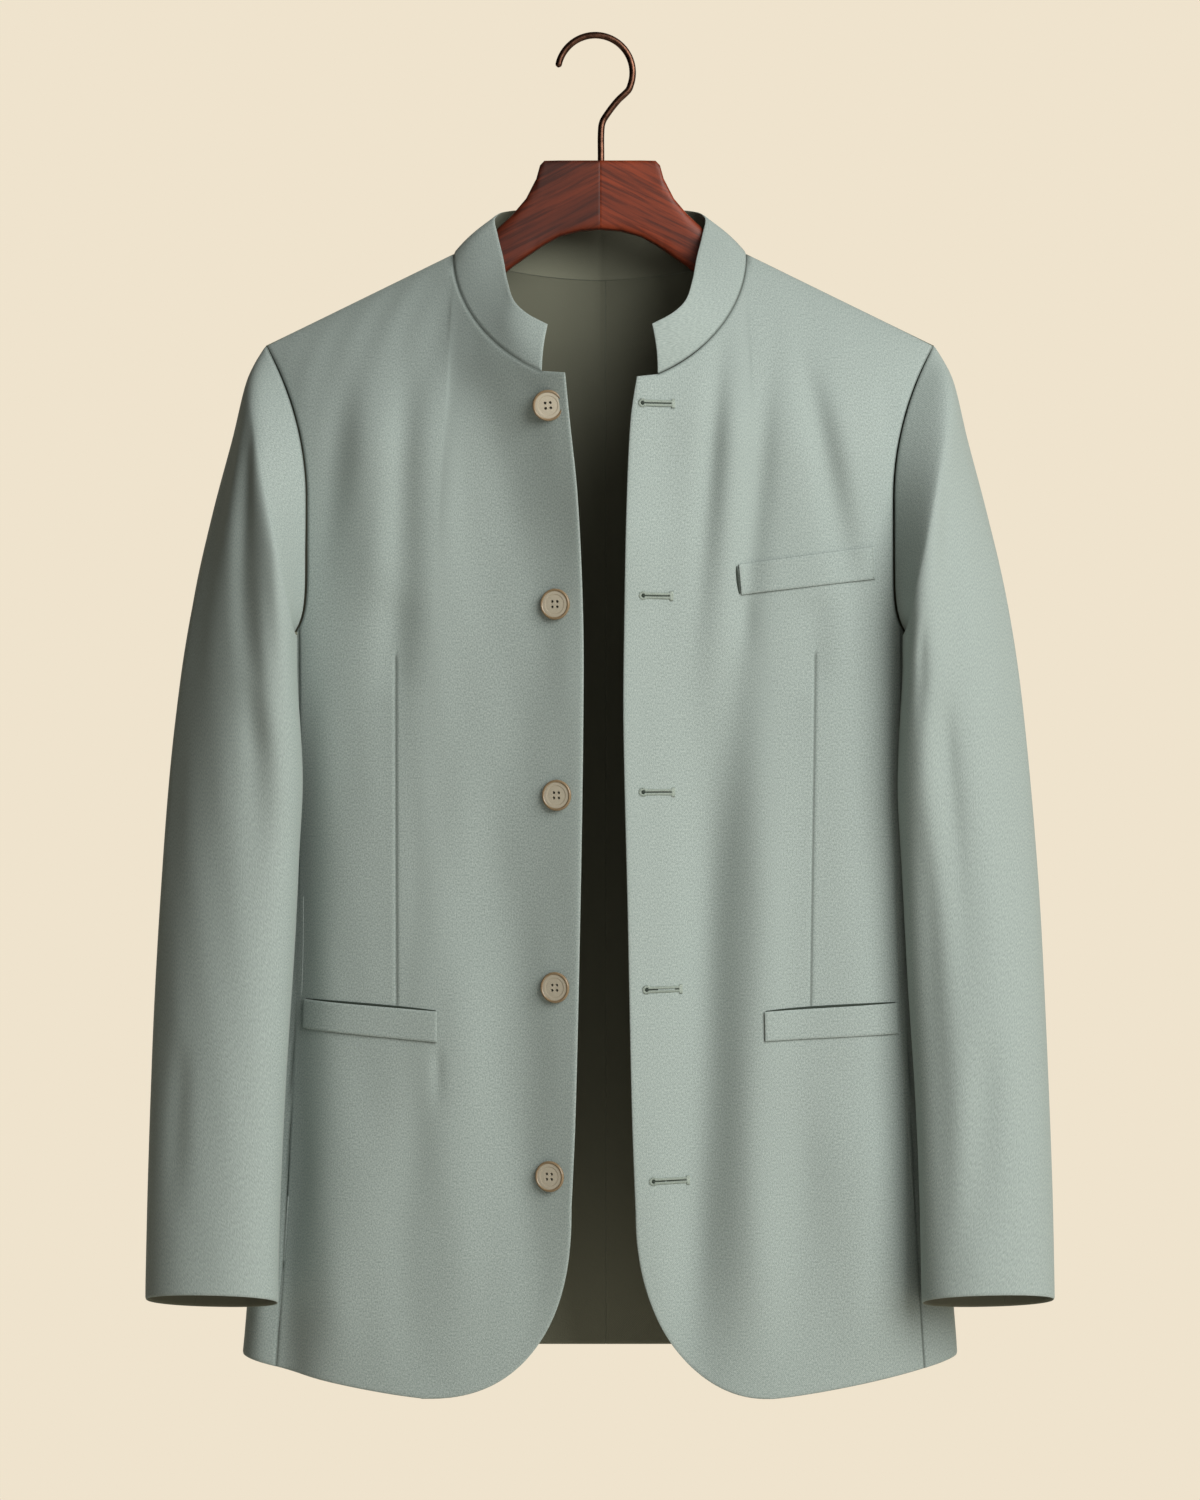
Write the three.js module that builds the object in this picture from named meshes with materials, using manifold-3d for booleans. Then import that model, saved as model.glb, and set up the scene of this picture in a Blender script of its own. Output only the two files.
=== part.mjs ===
// Long sleeved jacket with a mandarin collar, hanging open on a wooden hanger.
// Millimetres, +Z up, the fronts face -Y. The origin is the inside of the top of the hook.
// "out" is the distance from the middle of the garment, "drop" the distance below the origin,
// and "forward" the distance towards the front, which is -Y.

import * as THREE from 'three';
import { mergeVertices } from 'three/addons/utils/BufferGeometryUtils.js';
import Module from 'manifold-3d';

const wasm = await Module();
wasm.setup();

// Driving sizes of the cloth
const CLOTH = 1.6;
const SEAM_GAP = 0.3;
const WELT_LIFT = 0.5;
const WELT_THICKNESS = 1.4;
const SECTION_POWER = 2.5;

// Driving sizes of the cut
const NECK_OUT = 100.4;
const NECK_DROP = 147;
const SHOULDER_OUT = 228;
const SHOULDER_DROP = 209.5;
const UNDERARM_DROP = 425;
const NECK_FRONT_DEPTH = 97.5;
const NECK_BACK_DEPTH = 13;
const NECK_POWER = 1.9;
const COLLAR_END_OUT = 39;
const FRONT_TOP_DROP = 237.5;
const HEM_DROP = 919.5;
const HEM_SIDE_DROP = 896.5;
const HEM_BACK_DROP = 899.5;
const HEM_STRAIGHT_OUT = 115;
const CENTRE_BACK_OUT = 4;
const HEM_END_OUT = 246;
const HEM_POWER = 1.3;
const HEM_BACK_RISE = 1;
const NECK_BACK_POWER = 2.2;
const SIDE_SEAM = { bottomOut: 219, topDrop: 403, bottomDrop: 902 };

// The rounded corner where each front edge meets the hem
const HEM_CORNER = {
  left: { startDrop: 790, endOut: 119, power: 2.4 },
  right: { startDrop: 795, endOut: 113.5, power: 2.1 },
};

// Half width and depths of the body at each height
const BODY = [
  { drop: 205, halfWidth: 236, front: 73, back: 55 },
  { drop: 320, halfWidth: 233, front: 77, back: 58 },
  { drop: 430, halfWidth: 231, front: 78, back: 60 },
  { drop: 620, halfWidth: 226, front: 74, back: 58 },
  { drop: 770, halfWidth: 234, front: 71, back: 58 },
  { drop: 925, halfWidth: 246, front: 70, back: 60 },
];

// Distance below the shoulder line over which the cloth falls to its full depth
const FALL = { neck: 145, tip: 90, power: 0.75 };

// The edge of each front, from the collar to where the rounded corner starts
const FRONT_EDGE = [
  { drop: 237.5, left: 23.5, right: 24.7 },
  { drop: 266, left: 20.7, right: 20.6 },
  { drop: 320, left: 15.2, right: 18 },
  { drop: 400, left: 11.5, right: 16.3 },
  { drop: 470, left: 11.4, right: 15.8 },
  { drop: 590, left: 13.3, right: 18.6 },
  { drop: 730, left: 16.7, right: 21.6 },
  { drop: 795, left: 19.6, right: 24 },
];

// The armhole is one loop on the surface of the body
const ARMHOLE = { frontOut: 197, backOut: 193, upperPower: 2, lowerPower: 8, seamAt: -0.8, rowPower: 1.2 };

// How fast the folds die out towards the sides of the body
const FOLD_EDGE = 1.5;

// Largest folds of each front and of the back. A positive height stands out, a negative one sinks.
const FOLDS = {
  left: [
    { out0: 4, drop0: 240, out1: -2, drop1: 980, width: 36, height: 15 },
    { out0: 130, drop0: 195, out1: 138, drop1: 430, width: 13, height: -3.5 },
    { out0: 171, drop0: 220, out1: 187, drop1: 330, width: 13, height: -4 },
    { out0: 146, drop0: 235, out1: 143, drop1: 410, width: 24, height: 3.5 },
    { out0: 137, drop0: 375, out1: 136, drop1: 455, width: 12, height: -3 },
    { out0: 72, drop0: 470, out1: 52, drop1: 860, width: 26, height: -3.5 },
    { out0: 100, drop0: 560, out1: 92, drop1: 930, width: 26, height: 3 },
    { out0: 165, drop0: 690, out1: 172, drop1: 930, width: 26, height: 3 },
  ],
  right: [
    { out0: 4, drop0: 170, out1: 0, drop1: 900, width: 36, height: 15 },
    { out0: 18, drop0: 190, out1: 6, drop1: 400, width: 40, height: 7 },
    { out0: 82, drop0: 195, out1: 60, drop1: 360, width: 11, height: -4 },
    { out0: 118, drop0: 195, out1: 84, drop1: 400, width: 12, height: -4 },
    { out0: 130, drop0: 195, out1: 176, drop1: 370, width: 12, height: -5.5 },
    { out0: 144, drop0: 375, out1: 143, drop1: 455, width: 12, height: -3 },
    { out0: 82, drop0: 400, out1: 66, drop1: 960, width: 17, height: -9 },
    { out0: 112, drop0: 430, out1: 100, drop1: 960, width: 20, height: 6 },
    { out0: 180, drop0: 190, out1: 186, drop1: 960, width: 42, height: 5 },
    { out0: 176, drop0: 700, out1: 184, drop1: 930, width: 24, height: 3 },
  ],
  back: [
    { out0: 60, drop0: 205, out1: 40, drop1: 420, width: 22, height: 3 },
    { out0: 120, drop0: 190, out1: 150, drop1: 360, width: 16, height: -4 },
    { out0: 90, drop0: 560, out1: 105, drop1: 930, width: 34, height: 4 },
    { out0: 160, drop0: 640, out1: 172, drop1: 930, width: 22, height: -4 },
  ],
};

// Beside the collar the left front turns forward along a hinge line
const FLAP = [
  { drop: 150, hinge: 112, slope: 0.5 },
  { drop: 219, hinge: 102, slope: 0.5 },
  { drop: 266, hinge: 73, slope: 0.5 },
  { drop: 319, hinge: 55, slope: 0.48 },
  { drop: 366, hinge: 42, slope: 0.3 },
  { drop: 430, hinge: 30, slope: 0.05 },
  { drop: 500, hinge: 20, slope: 0 },
];
const FLAP_BEND = 4;

// Stations along one half of the collar's top edge: share 0 is the middle of the back, 1 the front end
const COLLAR_TOP = [
  { share: 0, out: 0, forward: -41, drop: 113.5 },
  { share: 0.15, out: 34, forward: -37, drop: 113.5 },
  { share: 0.3, out: 60, forward: -22, drop: 115 },
  { share: 0.46, out: 72, forward: -1, drop: 121.5 },
  { share: 0.56, out: 70, forward: 12, drop: 135 },
  { share: 0.68, out: 66, forward: 29, drop: 152 },
  { share: 0.8, out: 62.5, forward: 49, drop: 171 },
  { share: 0.88, out: 58, forward: 64, drop: 185 },
  { share: 0.94, out: 49, forward: 73, drop: 194.5 },
  { share: 1, out: 35, forward: 79, drop: 202.5 },
];
const COLLAR = { sideShare: 0.46, bow: 2.2, gap: 0.95, insideDrop: 187 };

// Rings down the sleeve. The outer and inner points, as out, drop and forward, are its edges as
// seen from the front.
const SLEEVE = [
  { outer: [240, 231, 0], inner: [201, 418, 52], depth: 50, slant: 0 },
  { outer: [251, 275, 0], inner: [200, 431, 57], depth: 54, slant: 0 },
  { outer: [264, 325, 1], inner: [200, 450, 59], depth: 54, slant: 0 },
  { outer: [276, 378, 3], inner: [199, 476, 58], depth: 54, slant: 0 },
  { outer: [286, 445, 7], inner: [199.5, 510, 56], depth: 52, slant: 0 },
  { outer: [293, 520, 14], inner: [202, 560, 54], depth: 49, slant: 0 },
  { outer: [299, 615, 25], inner: [206, 635, 54], depth: 46, slant: 0 },
  { outer: [302.5, 710, 36], inner: [211, 718, 58], depth: 42, slant: 0 },
  { outer: [304.5, 800, 46], inner: [214, 802, 63], depth: 39, slant: 4 },
  { outer: [305, 855, 52], inner: [215, 855, 66], depth: 38, slant: 8.5 },
];
const SLEEVE_POWER = 2.2;
// Distance that the sleeve keeps from the side of the body, from a height under the shoulder
const SLEEVE_CLEARANCE = { distance: 5, fromDrop: 330, within: 60 };
const SLEEVE_INSIDE = { out: 255, forward: 35, drop: 520 };
// Typical radius and length of the sleeve, which turn a fold's angles and shares into distances
const SLEEVE_REACH = { round: 50, down: 640 };

// Folds of the sleeves, by the angle round the sleeve and the share of its length
const SLEEVE_FOLDS = {
  left: [
    { angle0: 0.95, share0: 0.1, angle1: 1.95, share1: 0.42, width: 11, height: -4.5 },
    { angle0: 0.75, share0: 0.12, angle1: 1.35, share1: 0.42, width: 12, height: 3 },
    { angle0: 1.75, share0: 0.4, angle1: 2.15, share1: 0.72, width: 13, height: -3.5 },
    { angle0: 4.2, share0: 0.25, angle1: 4.9, share1: 0.55, width: 14, height: -4 },
  ],
  right: [
    { angle0: 1.35, share0: 0.12, angle1: 1.8, share1: 0.44, width: 11, height: -4.5 },
    { angle0: 1.95, share0: 0.42, angle1: 1.7, share1: 0.78, width: 13, height: -5.5 },
    { angle0: 2.35, share0: 0.5, angle1: 2.3, share1: 1.05, width: 16, height: -4 },
    { angle0: 1.55, share0: 0.74, angle1: 1.8, share1: 0.97, width: 12, height: -3 },
    { angle0: 4.3, share0: 0.22, angle1: 4.8, share1: 0.5, width: 14, height: -4 },
  ],
};

// Pocket welts, by their four corners on a front
const WELTS = {
  breast_welt: {
    side: 1,
    corners: [
      { out: 92, drop: 362.5 }, { out: 183, drop: 350 },
      { out: 184, drop: 371.5 }, { out: 94, drop: 382.5 },
    ],
  },
  pocket_welt_left: {
    side: -1,
    corners: [
      { out: 108.5, drop: 660.5 }, { out: 199.5, drop: 654 },
      { out: 200, drop: 673.5 }, { out: 108.5, drop: 681 },
    ],
  },
  pocket_welt_right: {
    side: 1,
    corners: [
      { out: 109.5, drop: 660.5 }, { out: 199.5, drop: 656 },
      { out: 200, drop: 676.5 }, { out: 110, drop: 680 },
    ],
  },
};

// Buttons, down the left front. Each lies on the slope of the cloth under it.
const BUTTON = {
  radius: 10.4,
  thickness: 2.6,
  round: 0.7,
  rimWidth: 2,
  recess: 0.5,
  holeRadius: 1,
  holePitch: 1.9,
};
const BUTTON_ROWS = [
  { out: 33.8, drop: 257.9 },
  { out: 29, drop: 389.3 },
  { out: 28, drop: 516 },
  { out: 29.1, drop: 643.8 },
  { out: 32.7, drop: 769.8 },
];

// Wooden hanger: one half is a loft of cross sections, the other its mirror image
const HANGER = [
  { out: 0.15, top: 83.6, bottom: 130.5, halfThick: 6.5, power: 6 },
  { out: 14, top: 83.6, bottom: 131.6, halfThick: 6.5, power: 6 },
  { out: 28, top: 83.6, bottom: 135.5, halfThick: 6.5, power: 6 },
  { out: 38, top: 83.8, bottom: 141, halfThick: 6.5, power: 6 },
  { out: 41, top: 87, bottom: 143, halfThick: 6.5, power: 6 },
  { out: 43.5, top: 96, bottom: 144.7, halfThick: 6.5, power: 5 },
  { out: 50.5, top: 109.6, bottom: 149.6, halfThick: 6.5, power: 5 },
  { out: 59, top: 119.6, bottom: 155.5, halfThick: 6.5, power: 4 },
  { out: 74, top: 133.5, bottom: 168, halfThick: 6.2, power: 2.6 },
  { out: 88, top: 146, bottom: 178, halfThick: 5.8, power: 2.2 },
  { out: 104, top: 153.5, bottom: 188, halfThick: 6, power: 2 },
  { out: 122, top: 160.2, bottom: 197, halfThick: 7, power: 1.8 },
  { out: 150, top: 174, bottom: 211, halfThick: 8, power: 1.7 },
  { out: 180, top: 188.8, bottom: 224, halfThick: 7.5, power: 1.7 },
  { out: 198, top: 197.6, bottom: 229, halfThick: 5.5, power: 1.7 },
  { out: 204, top: 203, bottom: 226, halfThick: 4, power: 1.8 },
];
const HANGER_SECTION_POINTS = 16;

// Wire hook: an arc open to one side, then a bend, as out and drop, into the straight stem
const HOOK = {
  wireRadius: 2.3,
  arcRadius: 25.6,
  tipAngle: 172,
  endAngle: -28,
  turn: 20,
  stemOut: 0.7,
  bore: 2.6,
  boreDepth: 22,
  bend: [[12, 42.5], [5, 51.5], [1.6, 57.5], [0.7, 65], [0.7, 80]],
};
const HOOK_SHIFT = 3.3;

const COLOURS = {
  cloth: 0x96a89c,
  wood: 0x4f2415,
  hook: 0x6b4632,
  button: 0xa39c88,
};

function clamp(value, low, high) {
  return Math.min(Math.max(value, low), high);
}

function mix(a, b, t) {
  return a + (b - a) * t;
}

function ease(t) {
  const s = clamp(t, 0, 1);
  return s * s * (3 - 2 * s);
}

// Sine or cosine of a point on a rounded rectangle, whose corners are squarer at a higher power
function rounded(value, power) {
  return Math.sign(value) * Math.abs(value) ** (2 / power);
}

function hermite(p0, p1, m0, m1, t) {
  const t2 = t * t;
  const t3 = t2 * t;
  return (2 * t3 - 3 * t2 + 1) * p0 + (t3 - 2 * t2 + t) * m0 + (3 * t2 - 2 * t3) * p1 + (t3 - t2) * m1;
}

// Every column of a table, as smooth curves through its rows
function lookUp(table, key, value) {
  let i = 0;
  while (i < table.length - 2 && value > table[i + 1][key]) {
    i += 1;
  }
  const before = table[Math.max(i - 1, 0)];
  const low = table[i];
  const high = table[i + 1];
  const after = table[Math.min(i + 2, table.length - 1)];
  const span = high[key] - low[key];
  const t = clamp((value - low[key]) / span, 0, 1);
  const row = {};
  for (const column of Object.keys(low)) {
    const slopeLow = (high[column] - before[column]) / (high[key] - before[key]);
    const slopeHigh = (after[column] - low[column]) / (after[key] - low[key]);
    row[column] = hermite(low[column], high[column], slopeLow * span, slopeHigh * span, t);
  }
  return row;
}

// Height of all folds of a table at one place
function foldHeight(folds, a, b, keys, scaleA, scaleB) {
  let height = 0;
  for (const fold of folds) {
    const runA = (fold[keys[0] + '1'] - fold[keys[0] + '0']) * scaleA;
    const runB = (fold[keys[1] + '1'] - fold[keys[1] + '0']) * scaleB;
    const fromA = (a - fold[keys[0] + '0']) * scaleA;
    const fromB = (b - fold[keys[1] + '0']) * scaleB;
    const length = Math.hypot(runA, runB);
    const along = (fromA * runA + fromB * runB) / (length * length);
    const aside = Math.abs(fromA * runB - fromB * runA) / length;
    const ends = ease(along / 0.3) * ease((1 - along) / 0.3);
    height += fold.height * ends * Math.exp(-((aside / fold.width) ** 2));
  }
  return height;
}

function shoulderDrop(out) {
  const slope = (SHOULDER_DROP - NECK_DROP) / (SHOULDER_OUT - NECK_OUT);
  return NECK_DROP + slope * (out - NECK_OUT);
}

// Share of the full depth that the cloth reaches at a distance below the shoulder line
function fallShare(out, drop) {
  const reach = mix(FALL.neck, FALL.tip, clamp((out - NECK_OUT) / (SHOULDER_OUT - NECK_OUT), 0, 1));
  const below = clamp((drop - shoulderDrop(out)) / reach, 0, 1);
  return Math.sin((Math.PI / 2) * below) ** FALL.power;
}

// Rise of the cloth past the hinge line of the left front
function flapHeight(out, drop) {
  const flap = lookUp(FLAP, 'drop', drop);
  return flap.slope * FLAP_BEND * Math.log1p(Math.exp((flap.hinge - out) / FLAP_BEND));
}

// Depth of the body in front of or behind its middle plane
function bodyDepth(side, facing, out, drop) {
  const section = lookUp(BODY, 'drop', drop);
  const full = facing < 0 ? section.front : section.back;
  const across = Math.min(Math.abs(out) / section.halfWidth, 1);
  const edge = (1 - across ** SECTION_POWER) ** (1 / SECTION_POWER);
  const table = facing > 0 ? FOLDS.back : side < 0 ? FOLDS.left : FOLDS.right;
  const share = fallShare(Math.abs(out), drop);
  const flap = facing < 0 && side < 0 ? flapHeight(out, drop) : 0;
  const folds = flap + foldHeight(table, out, drop, ['out', 'drop'], 1, 1);
  return Math.max(full * edge * share + folds * share * Math.min(edge * FOLD_EDGE, 1), SEAM_GAP / 2);
}

function bodyPoint(side, facing, out, drop) {
  return new THREE.Vector3(side * out, facing * bodyDepth(side, facing, out, drop), -drop);
}

// Armhole, by the cosine of the angle from its top
function armholePlace(facing, cosine) {
  const middle = facing < 0 ? ARMHOLE.frontOut : ARMHOLE.backOut;
  const underarmOut = lookUp(BODY, 'drop', UNDERARM_DROP).halfWidth;
  const end = cosine > 0 ? SHOULDER_OUT : underarmOut;
  const power = cosine > 0 ? ARMHOLE.upperPower : ARMHOLE.lowerPower;
  const half = (UNDERARM_DROP - SHOULDER_DROP) / 2;
  return {
    out: mix(middle, end, Math.abs(cosine) ** power),
    drop: SHOULDER_DROP + half * (1 - cosine),
  };
}

function sideSeamOut(facing, drop) {
  const start = armholePlace(facing, ARMHOLE.seamAt);
  const t = clamp((drop - start.drop) / (SIDE_SEAM.bottomDrop - start.drop), 0, 1);
  return mix(start.out, SIDE_SEAM.bottomOut, t * t);
}

function neckFront(out) {
  const share = clamp(out / NECK_OUT, 0, 1);
  const dip = (1 - share ** NECK_POWER) ** (1 / NECK_POWER);
  return NECK_DROP + NECK_FRONT_DEPTH * dip;
}

function neckBack(out) {
  return NECK_DROP + NECK_BACK_DEPTH * (1 - (out / NECK_OUT) ** NECK_BACK_POWER);
}

function hemDrop(facing, out) {
  if (facing > 0) {
    return mix(HEM_BACK_DROP, HEM_SIDE_DROP + HEM_BACK_RISE, (out / HEM_END_OUT) ** 2);
  }
  const share = clamp((out - HEM_STRAIGHT_OUT) / (HEM_END_OUT - HEM_STRAIGHT_OUT), 0, 1);
  return mix(HEM_DROP, HEM_SIDE_DROP, share ** HEM_POWER);
}

// A closed wall from a grid of places on a surface. Its thickness lies on the inner side.
function wall(places, pointAt, options) {
  const { step, inside, thickness = CLOTH, trim = {}, lift = 0, bend = null } = options;
  const rows = places.length;
  const cols = places[0].length;
  const points = places.map((row) => row.map(([a, b]) => pointAt(a, b)));
  const normals = places.map((row) => row.map(([a, b]) => {
    const [stepA, stepB] = step;
    const alongA = pointAt(a + stepA, b).sub(pointAt(a - stepA, b));
    const alongB = pointAt(a, b + stepB).sub(pointAt(a, b - stepB));
    return alongA.cross(alongB).normalize();
  }));
  let agreement = 0;
  for (let i = 0; i < rows; i += 1) {
    for (let j = 0; j < cols; j += 1) {
      agreement += normals[i][j].dot(inside.clone().sub(points[i][j]).normalize());
    }
  }
  const sign = agreement > 0 ? 1 : -1;
  const vertices = [];
  const shifted = points.map((row) => row.map((point) => point.clone()));
  // Move a point of an edge back from it, square to the edge
  const pull = (point, neighbour, edgeBefore, edgeAfter, shiftedPoint, distance) => {
    const edge = edgeAfter.clone().sub(edgeBefore).normalize();
    const direction = neighbour.clone().sub(point);
    direction.addScaledVector(edge, -direction.dot(edge)).normalize();
    shiftedPoint.addScaledVector(direction, distance);
  };
  for (let j = 0; j < cols; j += 1) {
    for (const [i, next, distance] of [[0, 1, trim.top ?? 0], [rows - 1, rows - 2, trim.bottom ?? 0]]) {
      const before = points[i][Math.max(j - 1, 0)];
      const after = points[i][Math.min(j + 1, cols - 1)];
      pull(points[i][j], points[next][j], before, after, shifted[i][j], distance);
    }
  }
  for (let i = 0; i < rows; i += 1) {
    for (const [j, next, distance] of [[0, 1, trim.start ?? 0], [cols - 1, cols - 2, trim.end ?? 0]]) {
      const before = points[Math.max(i - 1, 0)][j];
      const after = points[Math.min(i + 1, rows - 1)][j];
      pull(points[i][j], points[i][next], before, after, shifted[i][j], distance);
    }
  }
  for (let i = 0; i < rows; i += 1) {
    for (let j = 0; j < cols; j += 1) {
      let inward = normals[i][j].clone().multiplyScalar(sign);
      if (bend) {
        inward = bend(i, j, inward, points[i][j]);
      }
      const face = shifted[i][j].clone().addScaledVector(inward, -lift);
      const back = face.clone().addScaledVector(inward, thickness);
      vertices.push(face, back);
    }
  }
  return closedGrid(vertices, rows, cols);
}

// Faces of a wall whose vertices come in pairs, one on each side, row by row
function closedGrid(vertices, rows, cols) {
  const at = (i, j, layer) => 2 * (i * cols + j) + layer;
  const faces = [];
  const quad = (a, b, c, d) => {
    faces.push([a, b, c], [a, c, d]);
  };
  for (let i = 0; i < rows - 1; i += 1) {
    for (let j = 0; j < cols - 1; j += 1) {
      quad(at(i, j, 0), at(i, j + 1, 0), at(i + 1, j + 1, 0), at(i + 1, j, 0));
      quad(at(i, j, 1), at(i + 1, j, 1), at(i + 1, j + 1, 1), at(i, j + 1, 1));
    }
  }
  for (let j = 0; j < cols - 1; j += 1) {
    quad(at(0, j, 1), at(0, j + 1, 1), at(0, j + 1, 0), at(0, j, 0));
    quad(at(rows - 1, j, 0), at(rows - 1, j + 1, 0), at(rows - 1, j + 1, 1), at(rows - 1, j, 1));
  }
  for (let i = 0; i < rows - 1; i += 1) {
    quad(at(i, 0, 0), at(i + 1, 0, 0), at(i + 1, 0, 1), at(i, 0, 1));
    quad(at(i, cols - 1, 1), at(i + 1, cols - 1, 1), at(i + 1, cols - 1, 0), at(i, cols - 1, 0));
  }
  return solid(vertices, faces);
}

// Geometry of a closed body, with its faces turned outward
function solid(vertices, faces) {
  let volume = 0;
  for (const [a, b, c] of faces) {
    volume += vertices[a].dot(vertices[b].clone().cross(vertices[c]));
  }
  const order = volume > 0 ? [0, 1, 2] : [0, 2, 1];
  const geometry = new THREE.BufferGeometry();
  const positions = vertices.flatMap((point) => [point.x, point.y, point.z]);
  geometry.setAttribute('position', new THREE.Float32BufferAttribute(positions, 3));
  geometry.setIndex(faces.flatMap((face) => order.map((corner) => face[corner])));
  return geometry;
}

function steps(count, placeAt) {
  return Array.from({ length: count + 1 }, (_, index) => placeAt(index / count));
}

// How fast the shape of a side curve fades into the panel
const SIDE_FADE = 3;

// Share of a panel's height at each share of its rows, which lie closest near the shoulder
const ROW_FALL = { joinRow: 0.35, joinShare: 0.33, power: 1.6 };

function rowFall(v) {
  const { joinRow, joinShare, power } = ROW_FALL;
  return v <= joinRow
    ? joinShare * (v / joinRow) ** power
    : mix(joinShare, 1, (v - joinRow) / (1 - joinRow));
}

// Grid between four curves that share their corners
function patch(rows, cols, curves) {
  const { top, bottom, start, end } = curves;
  const corner = { a: top(0), b: top(1), c: bottom(0), d: bottom(1) };
  return steps(rows, (v) => steps(cols, (u) => {
    const t = top(u);
    const b = bottom(u);
    const s = start(v);
    const e = end(v);
    const fall = rowFall(v);
    const startShare = (1 - u) ** SIDE_FADE;
    const endShare = u ** SIDE_FADE;
    return [0, 1].map((k) => (
      mix(t[k], b[k], fall)
      + startShare * (s[k] - mix(corner.a[k], corner.c[k], fall))
      + endShare * (e[k] - mix(corner.b[k], corner.d[k], fall))
    ));
  }));
}

// Rows and columns of the panels. The armhole takes the first rows and the hem corner the last.
const PANEL = { rows: 20, armholeRows: 7, edgeRows: 16, cols: 12, stepCols: 1, neckCols: 6, cornerCols: 3 };

// Share of the armhole at a row's share of the panel, closer together near the shoulder
function armholeStage(v) {
  return clamp((v * PANEL.rows) / PANEL.armholeRows, 0, 1);
}

const SIDE_SEAM_ANGLE = Math.acos(ARMHOLE.seamAt);

function armholeAngle(stage) {
  return SIDE_SEAM_ANGLE * stage ** ARMHOLE.rowPower;
}

function armholeSeam(facing, v) {
  const place = armholePlace(facing, Math.cos(armholeAngle(armholeStage(v))));
  return [place.out, place.drop];
}

function sideCurve(facing, v) {
  const join = PANEL.armholeRows / PANEL.rows;
  if (v <= join) {
    return armholeSeam(facing, v);
  }
  const top = armholePlace(facing, ARMHOLE.seamAt).drop;
  const drop = mix(top, hemDrop(facing, SIDE_SEAM.bottomOut), (v - join) / (1 - join));
  return [sideSeamOut(facing, drop), drop];
}

function shoulderPlace(t) {
  return [mix(NECK_OUT, SHOULDER_OUT, t), mix(NECK_DROP, SHOULDER_DROP, t)];
}

function frontPanel(side) {
  const name = side < 0 ? 'left' : 'right';
  const corner = HEM_CORNER[name];
  const startOut = lookUp(FRONT_EDGE, 'drop', corner.startDrop)[name];
  const cornerPlace = (angle) => [
    corner.endOut - (corner.endOut - startOut) * Math.cos(angle) ** (2 / corner.power),
    corner.startDrop + (HEM_DROP - corner.startDrop) * Math.sin(angle) ** (2 / corner.power),
  ];
  const neckShare = PANEL.neckCols / PANEL.cols;
  const stepShare = PANEL.stepCols / PANEL.cols;
  const cornerShare = PANEL.cornerCols / PANEL.cols;
  const joinRow = PANEL.armholeRows / PANEL.rows;
  const edgeRow = PANEL.edgeRows / PANEL.rows;
  const edgeTop = lookUp(FRONT_EDGE, 'drop', FRONT_TOP_DROP)[name];
  const joinDrop = SIDE_SEAM.topDrop;
  const top = (u) => {
    if (u <= stepShare) {
      const t = u / stepShare;
      return [mix(edgeTop, COLLAR_END_OUT, t), mix(FRONT_TOP_DROP, neckFront(COLLAR_END_OUT), t)];
    }
    if (u <= neckShare) {
      const turnEnd = Math.acos((COLLAR_END_OUT / NECK_OUT) ** (NECK_POWER / 2));
      const angle = mix(turnEnd, 0, (u - stepShare) / (neckShare - stepShare));
      const out = NECK_OUT * Math.cos(angle) ** (2 / NECK_POWER);
      return [out, neckFront(out)];
    }
    return shoulderPlace((u - neckShare) / (1 - neckShare));
  };
  const start = (v) => {
    if (v >= edgeRow) {
      return cornerPlace((Math.PI / 4) * ((v - edgeRow) / (1 - edgeRow)));
    }
    const drop = v <= joinRow
      ? mix(FRONT_TOP_DROP, joinDrop, armholeStage(v) ** 2)
      : mix(joinDrop, corner.startDrop, (v - joinRow) / (edgeRow - joinRow));
    return [lookUp(FRONT_EDGE, 'drop', drop)[name], drop];
  };
  const bottom = (u) => {
    if (u <= cornerShare) {
      return cornerPlace((Math.PI / 4) * (1 + u / cornerShare));
    }
    const out = mix(corner.endOut, SIDE_SEAM.bottomOut, (u - cornerShare) / (1 - cornerShare));
    return [out, hemDrop(-1, out)];
  };
  const end = (v) => sideCurve(-1, v);
  return patch(PANEL.rows, PANEL.cols, { top, bottom, start, end });
}

function backPanel(side) {
  const neckShare = PANEL.neckCols / PANEL.cols;
  const middle = side * CENTRE_BACK_OUT;
  const top = (u) => {
    if (u <= neckShare) {
      const out = mix(middle, NECK_OUT, u / neckShare);
      return [out, neckBack(Math.abs(out))];
    }
    return shoulderPlace((u - neckShare) / (1 - neckShare));
  };
  const bottom = (u) => {
    const out = mix(middle, SIDE_SEAM.bottomOut, u);
    return [out, hemDrop(1, Math.abs(out))];
  };
  const joinRow = PANEL.armholeRows / PANEL.rows;
  const start = (v) => {
    const topDrop = neckBack(0);
    const drop = v <= joinRow
      ? mix(topDrop, SIDE_SEAM.topDrop, armholeStage(v) ** 2)
      : mix(SIDE_SEAM.topDrop, HEM_BACK_DROP, (v - joinRow) / (1 - joinRow));
    return [middle, drop];
  };
  const end = (v) => sideCurve(1, v);
  return patch(PANEL.rows, PANEL.cols, { top, bottom, start, end });
}

// The shoulder seam's edge is square to the shoulder line, so that front and back meet flat
function squareShoulder(i, j, inward) {
  if (i === 0 && j >= PANEL.neckCols) {
    return new THREE.Vector3(inward.x, 0, inward.z).normalize();
  }
  return inward;
}

const BODY_INSIDE = new THREE.Vector3(0, 0, -500);
const HALF_GAP = SEAM_GAP / 2;
// A little more on the sleeve's seams, which turn sharply under the arm
const SLEEVE_TRIM = 0.7;

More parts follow.
